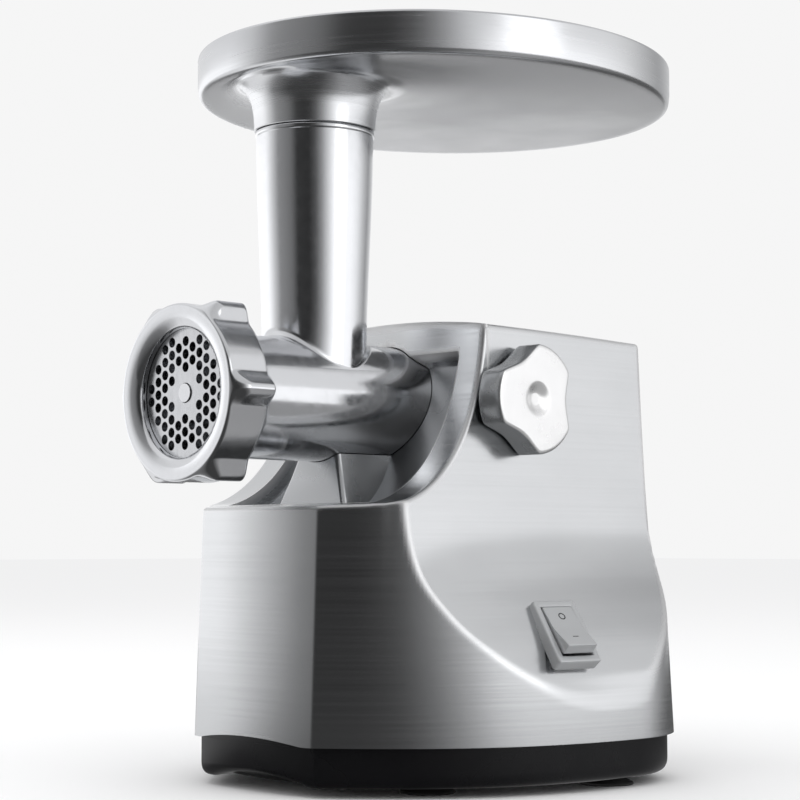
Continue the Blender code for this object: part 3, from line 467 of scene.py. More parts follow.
def columns():
    """The housing's outline from front centre to rear centre, as (foot, crest, top height, top normal)."""
    def front(level, t):
        x, y = NOSE[level]
        return cubic((0, y - NOSE_BOW), (15, y - NOSE_BOW), (29, y - 2.6), (x, y), t)

    def flank(level, t):
        return cubic(*FLANK[level], t)

    def nose_corner(level, t):
        start, end = front(level, NOSE_EDGE[0]), flank(level, NOSE_EDGE[1])
        return start * (1 - t) ** 2 + Vector(NOSE[level]) * 2 * t * (1 - t) + end * t * t

    def rear_corner(level, t):
        (x, y), r = FLANK[level][3], CORNER[level]
        return cubic((x, y), (x, y + ROUND * r), (x - r + ROUND * r, y + r), (x - r, y + r), t)

    def back(level, t):
        (x, y), r = FLANK[level][3], CORNER[level]
        return Vector(((x - r) * (1 - t), y + r + REAR_BOW * (1 - (1 - t) ** 2)))

    def flank_share(y, share):
        low, high = NOSE_EDGE[1], 1.0
        for _ in range(26):
            t = (low + high) / 2
            if flank(0, t)[1] * (1 - share) + flank(1, t)[1] * share < y:
                low = t
            else:
                high = t
        return t

    made = [(front(0, NOSE_EDGE[0] * i / 16), front(1, NOSE_EDGE[0] * i / 16), LEDGE_Z, LEDGE_RISE)
            for i in range(17)]
    made += [(nose_corner(0, i / 8), nose_corner(1, i / 8), LEDGE_Z, LEDGE_RISE) for i in range(1, 8)]
    share = share_up(LEDGE_Z)
    first_y = flank(0, NOSE_EDGE[1])[1] * (1 - share) + flank(1, NOSE_EDGE[1])[1] * share
    for y, z, normal in spine():
        t = flank_share(y, share_up(CROWN_EDGE if z is None else z))
        if y > first_y + 0.3 and t < 0.999:
            made.append((flank(0, t), flank(1, t), z, normal))
    made += [(rear_corner(0, i / 32), rear_corner(1, i / 32), None, (0, 1)) for i in range(1, 33)]
    made += [(back(0, i / 12), back(1, i / 12), None, (0, 1)) for i in range(1, 13)]
    return made


COLUMNS = columns()


def outline_direction(index):
    """The direction of the outline at a column, square to the centre line at both ends."""
    if index in (0, len(COLUMNS) - 1):
        return Vector((-1 if index else 1, 0))
    return (COLUMNS[index + 1][0] - COLUMNS[index - 1][0]).normalized()


def column_line(index, inset, rows, across):
    """One line of the shell, from its foot up the side and over the top to the centre line."""
    foot, crest, top, normal = COLUMNS[index]
    along = outline_direction(index)
    square = Vector((-along[1], along[0]))
    n = Vector((0, *normal)).normalized()

    def side(z):
        here = foot + (crest - foot) * share_up(z)
        flat = leaf_x(here[1], z)
        x = soft_min(here[0], flat, CREASE) if here[0] > FLANK_X else here[0]
        inward = Vector((-1, 0)) if here[0] > flat else square
        return Vector((max(x + inward[0] * inset, 0) if inset else x, here[1] + inward[1] * inset))

    if top is None:
        x, y = side(CROWN_EDGE)
        high = crown(min(x, CROWN_HALF), y) - inset
        if inset and y < WALL_Y + LINED:
            high = min(high, inner_ceiling(y))
    else:
        high = soft_min(top, crown(*side(min(top, BELOW_CROWN))), 1.0)
        if inset:
            high = inner_ceiling(side(high)[1])
    low = HOUSING_BOTTOM + (ARCH_RISE * max(0, 1 - (foot[0] / ARCH_HALF) ** 2) if foot[1] < 0 else 0)
    edge = 0 if inset else EDGE
    line = []
    for i in range(rows + 1):
        v = i / rows
        z = low + (high - edge * n.z - low) * v
        x, y = side(z)
        line.append(Vector((x, y - edge * n.y * v ** 6, z)))
    if edge:
        corner = Vector((*side(high), high))
        on_flank = corner.x >= FLANK_X and foot[1] > -20 and corner.y < REAR_Y
        inward = Vector((-1, 0, 0)) if on_flank else Vector((*square, 0))
        for i in range(1, 6):
            a = math.pi / 2 * i / 5
            line.append(corner + inward * edge * (1 - math.cos(a)) - n * edge * (1 - math.sin(a)))
    start, target = line[-1], centre_y(index)
    outer, inner = RECESS_BAND
    if start.x > outer + 0.6:
        marks = [start.x + (outer - start.x) * k / 6 for k in range(1, 7)]
        marks += [outer + (inner - outer) * k / 12 for k in range(1, 13)]
        marks += [inner * (1 - k / (across - 18)) for k in range(1, across - 17)]
    else:
        marks = [start.x * (1 - k / across) for k in range(1, across + 1)]
    for x in marks:
        t = 1 - x / start.x if start.x > 0.001 else marks.index(x) / (across - 1)
        y = start.y + (target - start.y) * t
        if top is None:
            z = crown(x, y) - inset
            if inset and y < WALL_Y + LINED:
                z = min(z, inner_ceiling(y))
            line.append(Vector((x, y, z)))
        elif inset:
            line.append(Vector((x, y, high)))
        else:
            z = soft_min(top, crown(x, y), 1.0)
            deep = RECESS_DEPTH * blend(-(RECESS_HALF + 0.8), -(RECESS_HALF - 0.8), -abs(x))
            deep *= blend(RECESS_FRONT - 1, RECESS_FRONT + 1.2, y)
            deep *= blend(-RECESS_TOP - 1.5, -RECESS_TOP + 4, -z)
            line.append(Vector((x, y, z)) - n * deep)
    return line


def inner_ceiling(y):
    """Underside of the shell's top, behind the saddle."""
    if y < RECESS_FRONT:
        return LEDGE[1] - LINED * 0.35
    best = SADDLE[0][1] - LINED
    for i in range(61):
        here, step = saddle_at(i / 60)
        if here[0] + step[1] * LINED <= y:
            best = here[1] - step[0] * LINED
    return NO_CEILING if y > WALL_Y + LINED - 0.4 else best


FIRST_SIDE = next(i for i, c in enumerate(COLUMNS) if c[0][1] > -18)
LAST_SIDE = next(i for i, c in enumerate(COLUMNS) if c[1][1] > 138)


def centre_y(index):
    """Where a line over the top meets the centre line."""
    def at_top(i):
        foot, crest, top, _ = COLUMNS[i]
        return (foot + (crest - foot) * share_up(BELOW_CROWN if top is None else top))[1]
    if index < FIRST_SIDE:
        return at_top(FIRST_SIDE) - 6 * (1 - index / FIRST_SIDE)
    if index > LAST_SIDE:
        return at_top(LAST_SIDE) + 6 * (index - LAST_SIDE) / (len(COLUMNS) - 1 - LAST_SIDE)
    return at_top(index)


def shell_mesh(name, look):
    """Outer and inner skins joined along the bottom rim, mirrored from the right-hand side."""
    outer = [column_line(i, 0, 128, 42) for i in range(len(COLUMNS))]
    inner = [column_line(i, SKIN, 14, 42) for i in range(len(COLUMNS))]
    shape = bmesh.new()
    for layer in (outer, inner):
        for side in (1, -1):
            rows = [[shape.verts.new(p) for p in place([(q.x * side, q.y, q.z) for q in line])]
                    for line in layer]
            for near, far in zip(rows, rows[1:]):
                for k in range(len(near) - 1):
                    shape.faces.new((near[k], far[k], far[k + 1], near[k + 1]))
            if layer is outer:
                rims = [[row[0] for row in rows]] if side == 1 else rims + [[row[0] for row in rows]]
            else:
                rim = rims[0 if side == 1 else 1]
                for k in range(len(rim) - 1):
                    shape.faces.new((rim[k], rim[k + 1], rows[k + 1][0], rows[k][0]))
    bmesh.ops.remove_doubles(shape, verts=shape.verts, dist=4e-6)
    bmesh.ops.dissolve_degenerate(shape, dist=2e-6, edges=shape.edges)
    bmesh.ops.recalc_face_normals(shape, faces=shape.faces)
    mesh = bpy.data.meshes.new(name)
    shape.to_mesh(mesh)
    shape.free()
    return finished(bpy.data.objects.new(name, mesh), mesh, look, 40)


def switch_frame():
    """The switch's directions: to the rear, up the housing and out of it."""
    lean, swing = math.radians(SWITCH_LEAN), math.radians(SWITCH_SWING)
    out = Vector((math.cos(lean) * math.cos(swing), -math.cos(lean) * math.sin(swing), math.sin(lean)))
    along = Vector((math.sin(swing), math.cos(swing), 0))
    return along, out.cross(along), out


def box_rings(half_u, half_v, low, high, centre, frame_of):
    """Two rings of a straight-sided cutter."""
    u, v, w = frame_of
    return [[Vector(centre) + u * a * half_u + v * b * half_v + w * h
             for a, b in ((-1, -1), (1, -1), (1, 1), (-1, 1))] for h in (low, high)]


housing = shell_mesh("housing_skin", brushed)
socket = skin("socket_tool", spin([(SOCKET_R, -70), (SOCKET_R, 60)], 96), brushed, caps=(0, 1))
notch = skin("switch_tool", box_rings(*SWITCH_HOLE, -20, 20, SWITCH_CENTRE, switch_frame()), brushed,
             caps=(0, 1))
vent = skin("vent_tool", box_rings(*VENT_HOLE, -20, 20, VENT_CENTRE, (X_AXIS, Z_AXIS, Y_AXIS)), brushed,
            caps=(0, 1))
machined(housing, brushed, (socket, notch, vent), sharp=40)
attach(housing, "housing")
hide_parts("body_shell")

# ------------------------- saddle liner
# A separate satin pressing lines the saddle behind the barrel, with a square pedestal that carries it.
# It is screwed to the shell from inside, and the barrel passes through it into the drive.
LINER_BACK, LINER_FRONT, LINER_HALF, LINER_EDGE = 10.5, 8.0, 47.0, 0.4
satin = Finish("satin_liner", (0.50, 0.51, 0.52), 1.0, 0.3)
satin.dull(satin.grain(40, 3), 0.22, 0.34)
satin.bump(satin.grain(900, 3), 0.00002, 0.5)


def saddle_layer(depth, count=40):
    """Side view of the saddle's curve, at a depth behind it."""
    line = []
    for i in range(count + 1):
        here, step = saddle_at(0.06 + 0.86 * i / count)
        line.append((here[0] + step[1] * depth, here[1] - step[0] * depth))
    return line


def rounded_rectangle(half_u, low_v, high_v, radius, count):
    """The outline of a rectangle with round corners, as (u, v) places."""
    in_u, in_low, in_high = half_u - radius, low_v + radius, high_v - radius
    outline = []
    for quarter, (u, v) in enumerate(((in_u, in_high), (-in_u, in_high), (-in_u, in_low), (in_u, in_low))):
        for k in range(count + 1):
            a = math.pi / 2 * (quarter + k / count)
            outline.append((u + radius * math.cos(a), v + radius * math.sin(a)))
    return outline


rings = []
bevel = LINER_HALF - LINER_EDGE
for x in [-LINER_HALF, -bevel] + [-46 + 4.0 * i for i in range(24)] + [bevel, LINER_HALF]:
    front_line = saddle_layer(LINER_FRONT + (LINER_EDGE if abs(x) == LINER_HALF else 0))
    rings.append([(x, y, z) for y, z in front_line + saddle_layer(LINER_BACK)[::-1]])
liner = skin("saddle_lining", rings, satin, caps=(0, 1))
PEDESTAL = ((24.4, -6, 30, -57.0), (24.0, -3, 30, -50.0), (17.6, 0.2, 32, -35.0), (13.4, 2.2, 37, -24.0),
            (12.6, 2.6, 37, -14.0))                      # half width, front, back and height
rings = [[(x, y, z) for x, y in rounded_rectangle(half, front, back, 2.2, 6)]
         for half, front, back, z in PEDESTAL]
pedestal = skin("pedestal_tool", rings, satin, caps=(0, 1))
seat = skin("seat_tool", spin([(SOCKET_R, -70), (SOCKET_R, 60)], 96), satin, caps=(0, 1))
machined(liner, satin, (seat,), (pedestal,), 40)
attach(liner, "housing")
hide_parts("saddle_liner")

# ------------------------- vent panel and cord inlet
# A moulded black panel closes the back of the shell. Its louvres let the motor's air out, a rim overlaps
# the shell's opening, and a rubber bush below them is where the mains lead goes in.
moulded = Finish("dark_moulding", (0.028, 0.028, 0.030), 0.0, 0.5)
moulded.dull(moulded.grain(60, 2), 0.42, 0.58)
moulded.bump(moulded.grain(1800, 2), 0.00004, 0.6)
rubber = Finish("black_rubber", (0.018, 0.018, 0.018), 0.0, 0.75)
rubber.dull(rubber.grain(90, 3), 0.62, 0.85)
rubber.bump(rubber.grain(2400, 2), 0.00003, 0.6)


def panel_ring(half, low, high, radius, behind, count=6):
    """A rounded upright rectangle, in from the panel's back face."""
    return [(x, PANEL_BACK - behind, z) for x, z in rounded_rectangle(half, low, high, radius, count)]


PANEL_BACK = (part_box("rear_vent_panel")[1].y - AXES.y) / MM
panel_rings = [panel_ring(*ring) for ring in (
    (45, -109, -11, 4, 3.0), (45, -109, -11, 4, 1.2), (48, -112, -8, 5, 1.2), (48, -112, -8, 5, 0.7),
    (47.3, -111.3, -8.7, 4.6, 0.1), (44.4, -108.4, -11.6, 4, 0.0), (43.8, -107.8, -12.2, 4, 0.8))]
panel = skin("vent_grille", panel_rings, moulded, caps=(0, 1))
SLOT_HEIGHTS = [-21.5 - 7.4 * i for i in range(9)]
SLAT = ((0, 2.9), (-0.9, 2.5), (-5.2, -2.4), (-4.2, -2.6))
BUSH_CENTRE = (0, 0, -98)
openings = [skin("slot_tool", [panel_ring(35, z - 1.7, z + 1.7, 1.6, behind, 4) for behind in (9, -5)],
                 moulded, caps=(0, 1)) for z in SLOT_HEIGHTS]
openings.append(skin("bush_tool", spin([(5.3, -170), (5.3, -150)], 32, BUSH_CENTRE), moulded, caps=(0, 1)))
machined(panel, moulded, openings)
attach(panel, "housing")
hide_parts("rear_vent_panel")
for i, z in enumerate(SLOT_HEIGHTS):
    rings = [[(x, PANEL_BACK - 3.4 + y, z + up) for y, up in SLAT] for x in (-36, -35.8, 35.8, 36)]
    slat = skin("louvre_%d" % (i + 1), rings, moulded, caps=(0, 1))
    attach(slat, "housing")
bush_line = eased([(8, -153.4), (8, -155.2, 0.4), (5, -155.2, 0.3), (5, -158.3, 0.3), (8, -158.3, 0.6),
                   (8, -161, 0.8), (6.4, -163, 0.8), (4.4, -163, 0.5), (3.6, -162, 0.4), (3.6, -153.4)], 3)
bush = skin("inlet_bush", spin(bush_line, 40, BUSH_CENTRE), rubber, loop=True)
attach(bush, "housing")
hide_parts("cord_gland")

# ------------------------- base, feet and screws
# The base is one glossy black moulding with a raised lip inside the shell. Its lower edge lifts in a
# shallow arch at the front. Four rubber feet are pushed into it and four screws hold the shell down.
gloss = Finish("gloss_black_base", (0.005, 0.005, 0.006), 0.0, 0.2, Specular_IOR_Level=0.35)
gloss.dull(gloss.grain(30, 3), 0.17, 0.30)
gloss.bump(gloss.grain(700, 2), 0.00001, 0.5)
BASE_INSET, BASE_BOTTOM, BASE_TOP = 3.0, -166.0, -148.8
BASE_ARCH, BASE_ARCH_HALF, BEND_START = 4.2, 33.0, -158.0
FOOT_PLACES = ((52, 20), (-52, 20), (84, 100), (-84, 100))


def base_line(inset):
    """The base's outline, both sides, an inset inside the shell's foot."""
    right = []
    for i, column in enumerate(COLUMNS):
        along = outline_direction(i)
        here = column[0] + Vector((-along[1], along[0])) * inset
        right.append((max(here[0], 0), here[1]))
    return right + [(-x, y) for x, y in right[-2:0:-1]]


base_profile = eased([(6.6, -163.0), (6.6, -143.6, 0.3), (3.2, -143.6, 0.5), (3.2, BASE_TOP, 0),
                      (BASE_INSET, BASE_TOP, 0), (BASE_INSET, BASE_BOTTOM, 6.0), (16, BASE_BOTTOM, 0.8),
                      (17.5, BASE_BOTTOM + 1.6)], 7)
rings = []
for inset, z in base_profile:
    bent = z < BEND_START and inset < 16.5
    share = BASE_ARCH * blend(BEND_START, BASE_BOTTOM, z) if bent else 0
    rings.append([(x, y, z + (share * max(0, 1 - (x / BASE_ARCH_HALF) ** 2) if y < 0 else 0))
                  for x, y in base_line(inset)])
tub = skin("base_moulding", rings, gloss, caps=(0, 1))
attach(tub, "housing")
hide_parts("base_tub")
foot_line = eased([(0, 7), (3, 7, 0.4), (5.6, 4.6, 0.4), (5.6, 3.3, 0.3), (4, 3.3, 0.2), (4, -0.2),
                   (8, -0.2, 0.5), (8.8, -1.4, 0.8), (12, -3.2, 0.8), (12, -4, 0.3), (9, -4, 0.6),
                   (7.5, -3, 0.8), (0, -2.7)], 4)
screw_line = eased([(0, 14), (2, 13), (2, -0.3), (4, -0.3, 0.2), (3.6, -1.8, 0.6), (0, -2.2)], 4)
ground = Finish("ground_steel", (0.56, 0.57, 0.59), 1.0, 0.25)
ground.dull(ground.grain(160, 4), 0.18, 0.32)
ground.bump(ground.grain(2500, 2), 0.00001, 0.6)
for name, (x, y) in zip(("front_right", "front_left", "rear_right", "rear_left"), FOOT_PLACES):
    foot = skin("rubber_foot_" + name, spin(foot_line, 48, (x, y, BASE_BOTTOM), (0, 0, 1)), rubber)
    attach(foot, "housing")
    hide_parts("foot_" + name)
for i, (x, y) in enumerate(FOOT_PLACES):
    centre = (x * 0.72, y + 26, BASE_BOTTOM)
    screw = skin("screw_%d" % (i + 1), spin(screw_line, 24, centre, (0, 0, 1)), ground)
    cross = [skin("cross_tool", box_rings(half_x, half_y, -4, -1, centre, (X_AXIS, Y_AXIS, Z_AXIS)),
                  ground, caps=(0, 1)) for half_x, half_y in ((2.2, 0.4), (0.4, 2.2))]
    machined(screw, ground, cross)
    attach(screw, "housing")
    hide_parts("base_screw_%d" % (i + 1))

# ------------------------- rocker switch
# A snap-in rocker switch: a silver moulded bezel with a deep well, and a rocker pivoting in it whose face
# is two shallow slopes. The off ring and the on bar are printed on it.
silver = Finish("silver_moulding", (0.52, 0.53, 0.54), 0.55, 0.34)
silver.dull(silver.grain(50, 2), 0.28, 0.40)
silver.bump(silver.grain(2600, 2), 0.00001, 0.5)
ink = Finish("printed_ink", (0.02, 0.02, 0.02), 0.0, 0.5)
ink.dull(ink.grain(900, 2), 0.4, 0.6)
ALONG, UP, OUT = switch_frame()


def switch_ring(half_u, half_v, radius, height):
    """A rounded rectangle across the switch, at a height above the housing."""
    return [SWITCH_CENTRE + ALONG * u + UP * v + OUT * height
            for u, v in rounded_rectangle(half_u, -half_v, half_v, radius, 5)]


bezel_rings = [switch_ring(*r) for r in (
    (9.8, 13.8, 1.0, -18), (9.8, 13.8, 1.0, -1.5), (11.5, 16.0, 1.3, -1.5), (11.5, 16.0, 1.3, 3.2),
    (11.35, 15.85, 1.2, 3.8), (11.0, 15.5, 1.0, 4.15), (10.6, 15.1, 0.9, 4.2), (8.9, 13.2, 0.6, 4.2),
    (8.5, 12.8, 0.5, 4.0), (8.3, 12.6, 0.5, 3.5), (8.3, 12.6, 0.5, -8))]
bezel = skin("switch_bezel", bezel_rings, silver, caps=(0, 1), sharp=50)
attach(bezel, "housing")
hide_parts("switch_housing")
PIVOT = SWITCH_CENTRE + OUT * 4.0
TILT = math.radians(-12)


def rocker_place(x, u, w):
    """A place on the rocker, from its pivot at rest."""
    up, out = u * math.cos(TILT) - w * math.sin(TILT), u * math.sin(TILT) + w * math.cos(TILT)
    return PIVOT + ALONG * x + UP * up + OUT * out


rocker_line = eased([(0, -6.6), (4, -6.6, 1), (12, -2, 0.8), (12, 3.2, 0.7), (0, 1.5, 3.0), (-12, 3.2, 0.7),
                     (-12, -2, 0.8), (-4, -6.6, 1)], 5)
rings = [[rocker_place(x, u * s, w * s + (1 - s) * -1) for u, w in rocker_line]
         for x, s in ((-7.9, 0.955), (-7.75, 0.985), (-7.4, 1), (7.4, 1), (7.75, 0.985), (7.9, 0.955))]
rocker = skin("rocker", rings, silver, caps=(0, 1), sharp=40)
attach(rocker, "switch_rocker")
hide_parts("switch_rocker")


def on_face(x, u, lift):
    """A place on the rocker's face, or just above it."""
    return rocker_place(x, u, 1.5 + 1.7 * abs(u) / 12 + lift)


INK, MARK_HEIGHT = 0.07, 6.6
rings = [[on_face(r * x, MARK_HEIGHT + r * y, lift) for x, y in circle(32)]
         for r, lift in ((1.25, 0), (1.25, INK), (1.75, INK), (1.75, 0))]
off_ring = skin("off_mark", rings, ink, loop=True)
rings = [[on_face(x, u, lift) for x, u in ((-1.5, -5.6), (1.5, -5.6), (1.5, -6.0), (-1.5, -6.0))]
         for lift in (0, INK)]
on_bar = skin("on_mark", rings, ink, caps=(0, 1))
for mark in (off_ring, on_bar):
    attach(mark, "switch_rocker")

# ------------------------- lock knob
# The knob that clamps the head is a plated moulding with three broad grips, turned by hand on the lock
# pin's thread. Its face is satin with a shallow round dish in the middle, and its edge is polished. Where
# it faces outwards its colour is painted lighter, a painted sheen.
plated = Finish("satin_plated_knob", (0.42, 0.43, 0.44), 0.85, 0.26)
plated.dull(plated.grain(70, 3), 0.2, 0.3)
plated.bump(plated.grain(1500, 2), 0.00001, 0.4)
# Painted sheen: where the surface faces outwards along X, its colour is painted lighter, towards near white.
split = plated.node("SeparateXYZ")
plated.link(plated.node("NewGeometry").outputs["Normal"], split.inputs[0])
plated.tint(split.outputs["X"], (0.90, 0.90, 0.90), 0.6, 0.95)
KNOB_R, KNOB_BACK, KNOB_FACE, KNOB_DISH = 24.5, 65.6, 79.0, 8.5
KNOB_HOLLOW, HOLLOW_HALF, PIN_R, HUB_R = 5.6, 32.0, 3.4, 6.2
OUTLINE, FACE_SHARE = 100, 60


def knob_reach(a):
    """Three round grips with a hollow between each pair; one hollow faces the rear."""
    away = abs((math.degrees(a) + 60) % 120 - 60) / HOLLOW_HALF
    return soft_min(KNOB_R, KNOB_R - KNOB_HOLLOW * (1 - away ** 2), 1.0)


def knob_shape(r, h, a):
    """From 100, r is measured in from the lobed outline; from 60 it is a share of the face, else a radius."""
    if r >= OUTLINE:
        return knob_reach(a) - (r - OUTLINE)
    if r >= FACE_SHARE:
        share = (r - FACE_SHARE) / (OUTLINE - FACE_SHARE)
        return KNOB_DISH + (knob_reach(a) - 3.0 - KNOB_DISH) * share
    return r


knob_profile = [(PIN_R, KNOB_BACK - 3), (PIN_R, 46), (HUB_R, 46), (HUB_R, KNOB_BACK), (9, KNOB_BACK)]
knob_profile += [(OUTLINE + r, KNOB_BACK + h) for r, h in ((2, 0), (0.8, 0.15), (0.2, 0.6), (0, 1.3))]
knob_profile += [(OUTLINE, KNOB_BACK + 1.3 + i * (KNOB_FACE - KNOB_BACK - 2.6) / 4) for i in range(1, 5)]
knob_profile += [(OUTLINE + r, KNOB_FACE - h) for r, h in ((0.15, 0.7), (0.5, 0.3), (1.1, 0.06), (2, 0))]
knob_profile += [(FACE_SHARE + (OUTLINE - FACE_SHARE) * (1 - i / 6), KNOB_FACE) for i in range(1, 6)]
knob_profile += [(KNOB_DISH * (1 - i / 14), KNOB_FACE - 1.9 * blend(0, 0.75, i / 14)) for i in range(0, 15)]
knob = skin("lock_handwheel", spin(knob_profile, 180, (0, KNOB_Y, 0), X_AXIS, knob_shape), plated,
            caps=(0,), sharp=45)
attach(knob, "lock_knob")
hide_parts("lock_knob")

# ------------------------- head casting
# Barrel and feed tube are one aluminium casting. The barrel is turned inside and the whole outside is
# polished over a faint cast grain. The tube widens slightly upwards and runs into the barrel on a fillet.
cast = Finish("polished_casting", (0.80, 0.81, 0.83), 1.0, 0.15)
cast.dull(cast.grain(220, 4), 0.11, 0.21)
cast.bump(cast.grain(420, 3, 0.6), 0.00004, 0.35)
cast.bump(cast.grain(45, 2), 0.0002, 0.25)
BARREL_R, BARREL_FRONT, BARREL_BACK, SPIGOT_R, SPIGOT_BACK = 27.0, 66.4, -52.0, 22.0, -74.0
TUBE_TOP, TUBE_TOP_R, TUBE_FOOT_R, TUBE_BORE_R, FILLET = 121.0, 26.4, 23.5, 23.8, 5.0
barrel_line = eased([(23.6, BARREL_FRONT), (30.6, BARREL_FRONT, 0.5), (30.6, 53), (BARREL_R, 49, 2),
                     (BARREL_R, 40), (BARREL_R, 20), (BARREL_R, 0), (BARREL_R, -25),
                     (BARREL_R, BARREL_BACK, 1.6), (SPIGOT_R, BARREL_BACK, 0.6), (SPIGOT_R, SPIGOT_BACK, 0.8),
                     (18.5, SPIGOT_BACK, 0.5), (18.5, -36), (23.6, -36)], 5)
head = skin("head_casting", spin(barrel_line, 144), cast, loop=True)
rows, SIDES = [], 144
beads = eased([(0, TUBE_TOP), (TUBE_TOP_R + 0.5, TUBE_TOP, 0.6), (TUBE_TOP_R + 0.5, TUBE_TOP - 1.8, 0.4),
               (TUBE_TOP_R, TUBE_TOP - 2.4)], 4)
for r, z in beads:
    rows.append([(r * x, r * y, z) for x, y in circle(SIDES)])
SUNK = BARREL_R - 0.12
foot_rows = [[] for _ in range(22)]
for i in range(SIDES):
    a = 2 * math.pi * i / SIDES
    ball = Vector(((TUBE_FOOT_R + FILLET) * math.cos(a), (TUBE_FOOT_R + FILLET) * math.sin(a), 0))
    ball.z = math.sqrt((SUNK + FILLET) ** 2 - ball.x ** 2)
    on_tube = Vector((TUBE_FOOT_R * math.cos(a), TUBE_FOOT_R * math.sin(a), ball.z))
    on_barrel = Vector((ball.x * SUNK / (SUNK + FILLET), ball.y, ball.z * SUNK / (SUNK + FILLET)))
    for k in range(10):
        z = (TUBE_TOP - 4) + (ball.z - TUBE_TOP + 4) * k / 9
        share = blend(0, 1, max(z - ball.z, 0) / (TUBE_TOP - ball.z)) ** 0.8
        r = TUBE_FOOT_R + (TUBE_TOP_R - TUBE_FOOT_R) * share
        foot_rows[k].append((r * math.cos(a), r * math.sin(a), z))
    from_ball, to_ball = (on_tube - ball).normalized(), (on_barrel - ball).normalized()
    angle = from_ball.angle(to_ball)
    for k in range(1, 11):
        t = k / 10
        arm = (from_ball * math.sin(angle * (1 - t)) + to_ball * math.sin(angle * t)) / math.sin(angle)
        foot_rows[9 + k].append(tuple(ball + arm * FILLET))
    deep = on_barrel * 0.93
    foot_rows[20].append((deep.x, on_barrel.y, deep.z))
    foot_rows[21].append((on_barrel.x * 0.5, on_barrel.y * 0.5, 24.6))
tube = skin("tube_tool", rows + foot_rows, cast, caps=(1,))
bore_line = [(TUBE_BORE_R, TUBE_TOP + 5), (TUBE_BORE_R, TUBE_TOP - 2), (20, 20), (20, 5)]
bore = skin("bore_tool", spin(bore_line, 96, (0, 0, 0), Z_AXIS), cast, caps=(0, 1))
groove = skin("groove_tool", [[(x, y, z) for y, z in ((KNOB_Y - 5, -5), (90, -5), (90, 5), (KNOB_Y - 5, 5))]
                              for x in (20, 26)], cast, caps=(0, 1))
machined(head, cast, (bore, groove), (tube,), 30)
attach(head, "head")
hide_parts("grinder_head")

# ------------------------- ring nut
# The cast ring nut screws onto the barrel's front and holds the plate. Six rounded ribs give it grip, and
# its polished face is dished towards the opening.
RING_FACE, RING_BACK, RING_DISH, RING_R, RIB_R, RIB_HALF = 77.5, 57.0, 2.6, 37.8, 43.0, 12.5
OPENING_R, DISH_R, RIB_RAMP = 27.5, 35.8, 7.0


def ring_reach(r, h, a):
    """From 100, r is measured in from the ribbed outline, else it is a radius."""
    if r < OUTLINE:
        return r
    away = abs((math.degrees(a) + 30) % 60 - 30)
    rise = blend(0, 1, 1 - away / RIB_HALF)
    front = RING_FACE - h
    ramp = math.sin(math.pi / 2 * min(max(front, 0) / RIB_RAMP, 1))
    outer = RING_R + (RIB_R - RING_R) * rise * ramp
    share = max(min(front / 1.4, (h - RING_BACK) / 1.8, 1.0), 0)
    return outer - (1.0 + 0.8 * rise * ramp) * (1 - math.sqrt(1 - (1 - share) ** 2)) - (r - OUTLINE)


heights = [0, 0.1, 0.3, 0.6, 1.0, 1.4, 1.8, 4, 7, 10, 13, 14, 15, 16, 17, 17.8, 18.5, 19.1, 19.5, 19.9, 20.2,
           20.4, 20.5]
lip, level = RING_FACE - RING_DISH, RING_FACE - 0.02
ring_profile = [(OUTLINE, RING_BACK + h) for h in heights] + [(36.4, RING_FACE), (DISH_R, level)]
for i in range(1, 13):
    t = i / 12
    ring_profile.append((DISH_R + (OPENING_R + 0.4 - DISH_R) * t, level - (RING_DISH - 0.3) * t ** 3))
ring_profile += [(OPENING_R + 0.15, lip - 0.3), (OPENING_R, lip - 0.7), (OPENING_R, lip - 2.7),
                 (31.3, lip - 2.7), (31.3, RING_BACK + 0.5), (31.8, RING_BACK)]
ring = skin("clamp_ring", spin(ring_profile, 360, reach=ring_reach), cast, loop=True, sharp=40)
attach(ring, "ring_nut")
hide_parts("ring_nut")

# ------------------------- grinding plate
# A hardened steel disc ground flat, drilled with sixty holes on a hexagonal grid. The auger's pin runs in
# the hole at its middle, and a key in its edge stops it turning.
PLATE_FACE, PLATE_THICK, PLATE_R, PITCH, HOLE_R, CENTRE_R = 71.9, 5.0, 31.0, 5.5, 2.15, 4.3
plate_steel = Finish("ground_plate", (0.70, 0.71, 0.73), 1.0, 0.24)
plate_steel.dull(plate_steel.grain(500, 4, stretch=(1, 1, 0.3)), 0.2, 0.32)
plate_steel.bump(plate_steel.grain(60, 3, stretch=(60, 1, 1)), 0.00001, 0.5)
drawing = bpy.data.curves.new("plate_drawing", "CURVE")
drawing.dimensions, drawing.fill_mode, drawing.extrude = "2D", "BOTH", PLATE_THICK / 2 * MM
holes = [(0, 0, PLATE_R, 128), (0, 0, CENTRE_R, 40)]
for column in range(-6, 7):
    for row in range(-6, 7):
        x, z = column * PITCH * math.cos(math.radians(30)), (row + 0.5 * (column % 2)) * PITCH
        if 10.5 < math.hypot(x, z) < 24.5:
            holes.append((x, z, HOLE_R, 24))
for x, y, r, sides in holes:
    line = drawing.splines.new("POLY")
    line.points.add(sides - 1)
    for point, (u, v) in zip(line.points, circle(sides)):
        point.co = ((x + r * u) * MM, (y + r * v) * MM, 0, 1)
    line.use_cyclic_u = True
drawn = bpy.data.objects.new("plate_drawing", drawing)
bpy.context.scene.collection.objects.link(drawn)
bpy.context.view_layer.update()
plate_mesh = bpy.data.meshes.new_from_object(drawn.evaluated_get(bpy.context.evaluated_depsgraph_get()))
bpy.data.objects.remove(drawn, do_unlink=True)
shape = bmesh.new()
shape.from_mesh(plate_mesh)
bmesh.ops.remove_doubles(shape, verts=shape.verts, dist=2e-6)
middle = AXES + Vector((0, -(PLATE_FACE - PLATE_THICK / 2), 0)) * MM
thick = max(v.co.z for v in shape.verts)
upright = Matrix.Rotation(math.pi / 2, 4, "X") @ Matrix.Diagonal((1, 1, PLATE_THICK / 2 * MM / thick, 1))
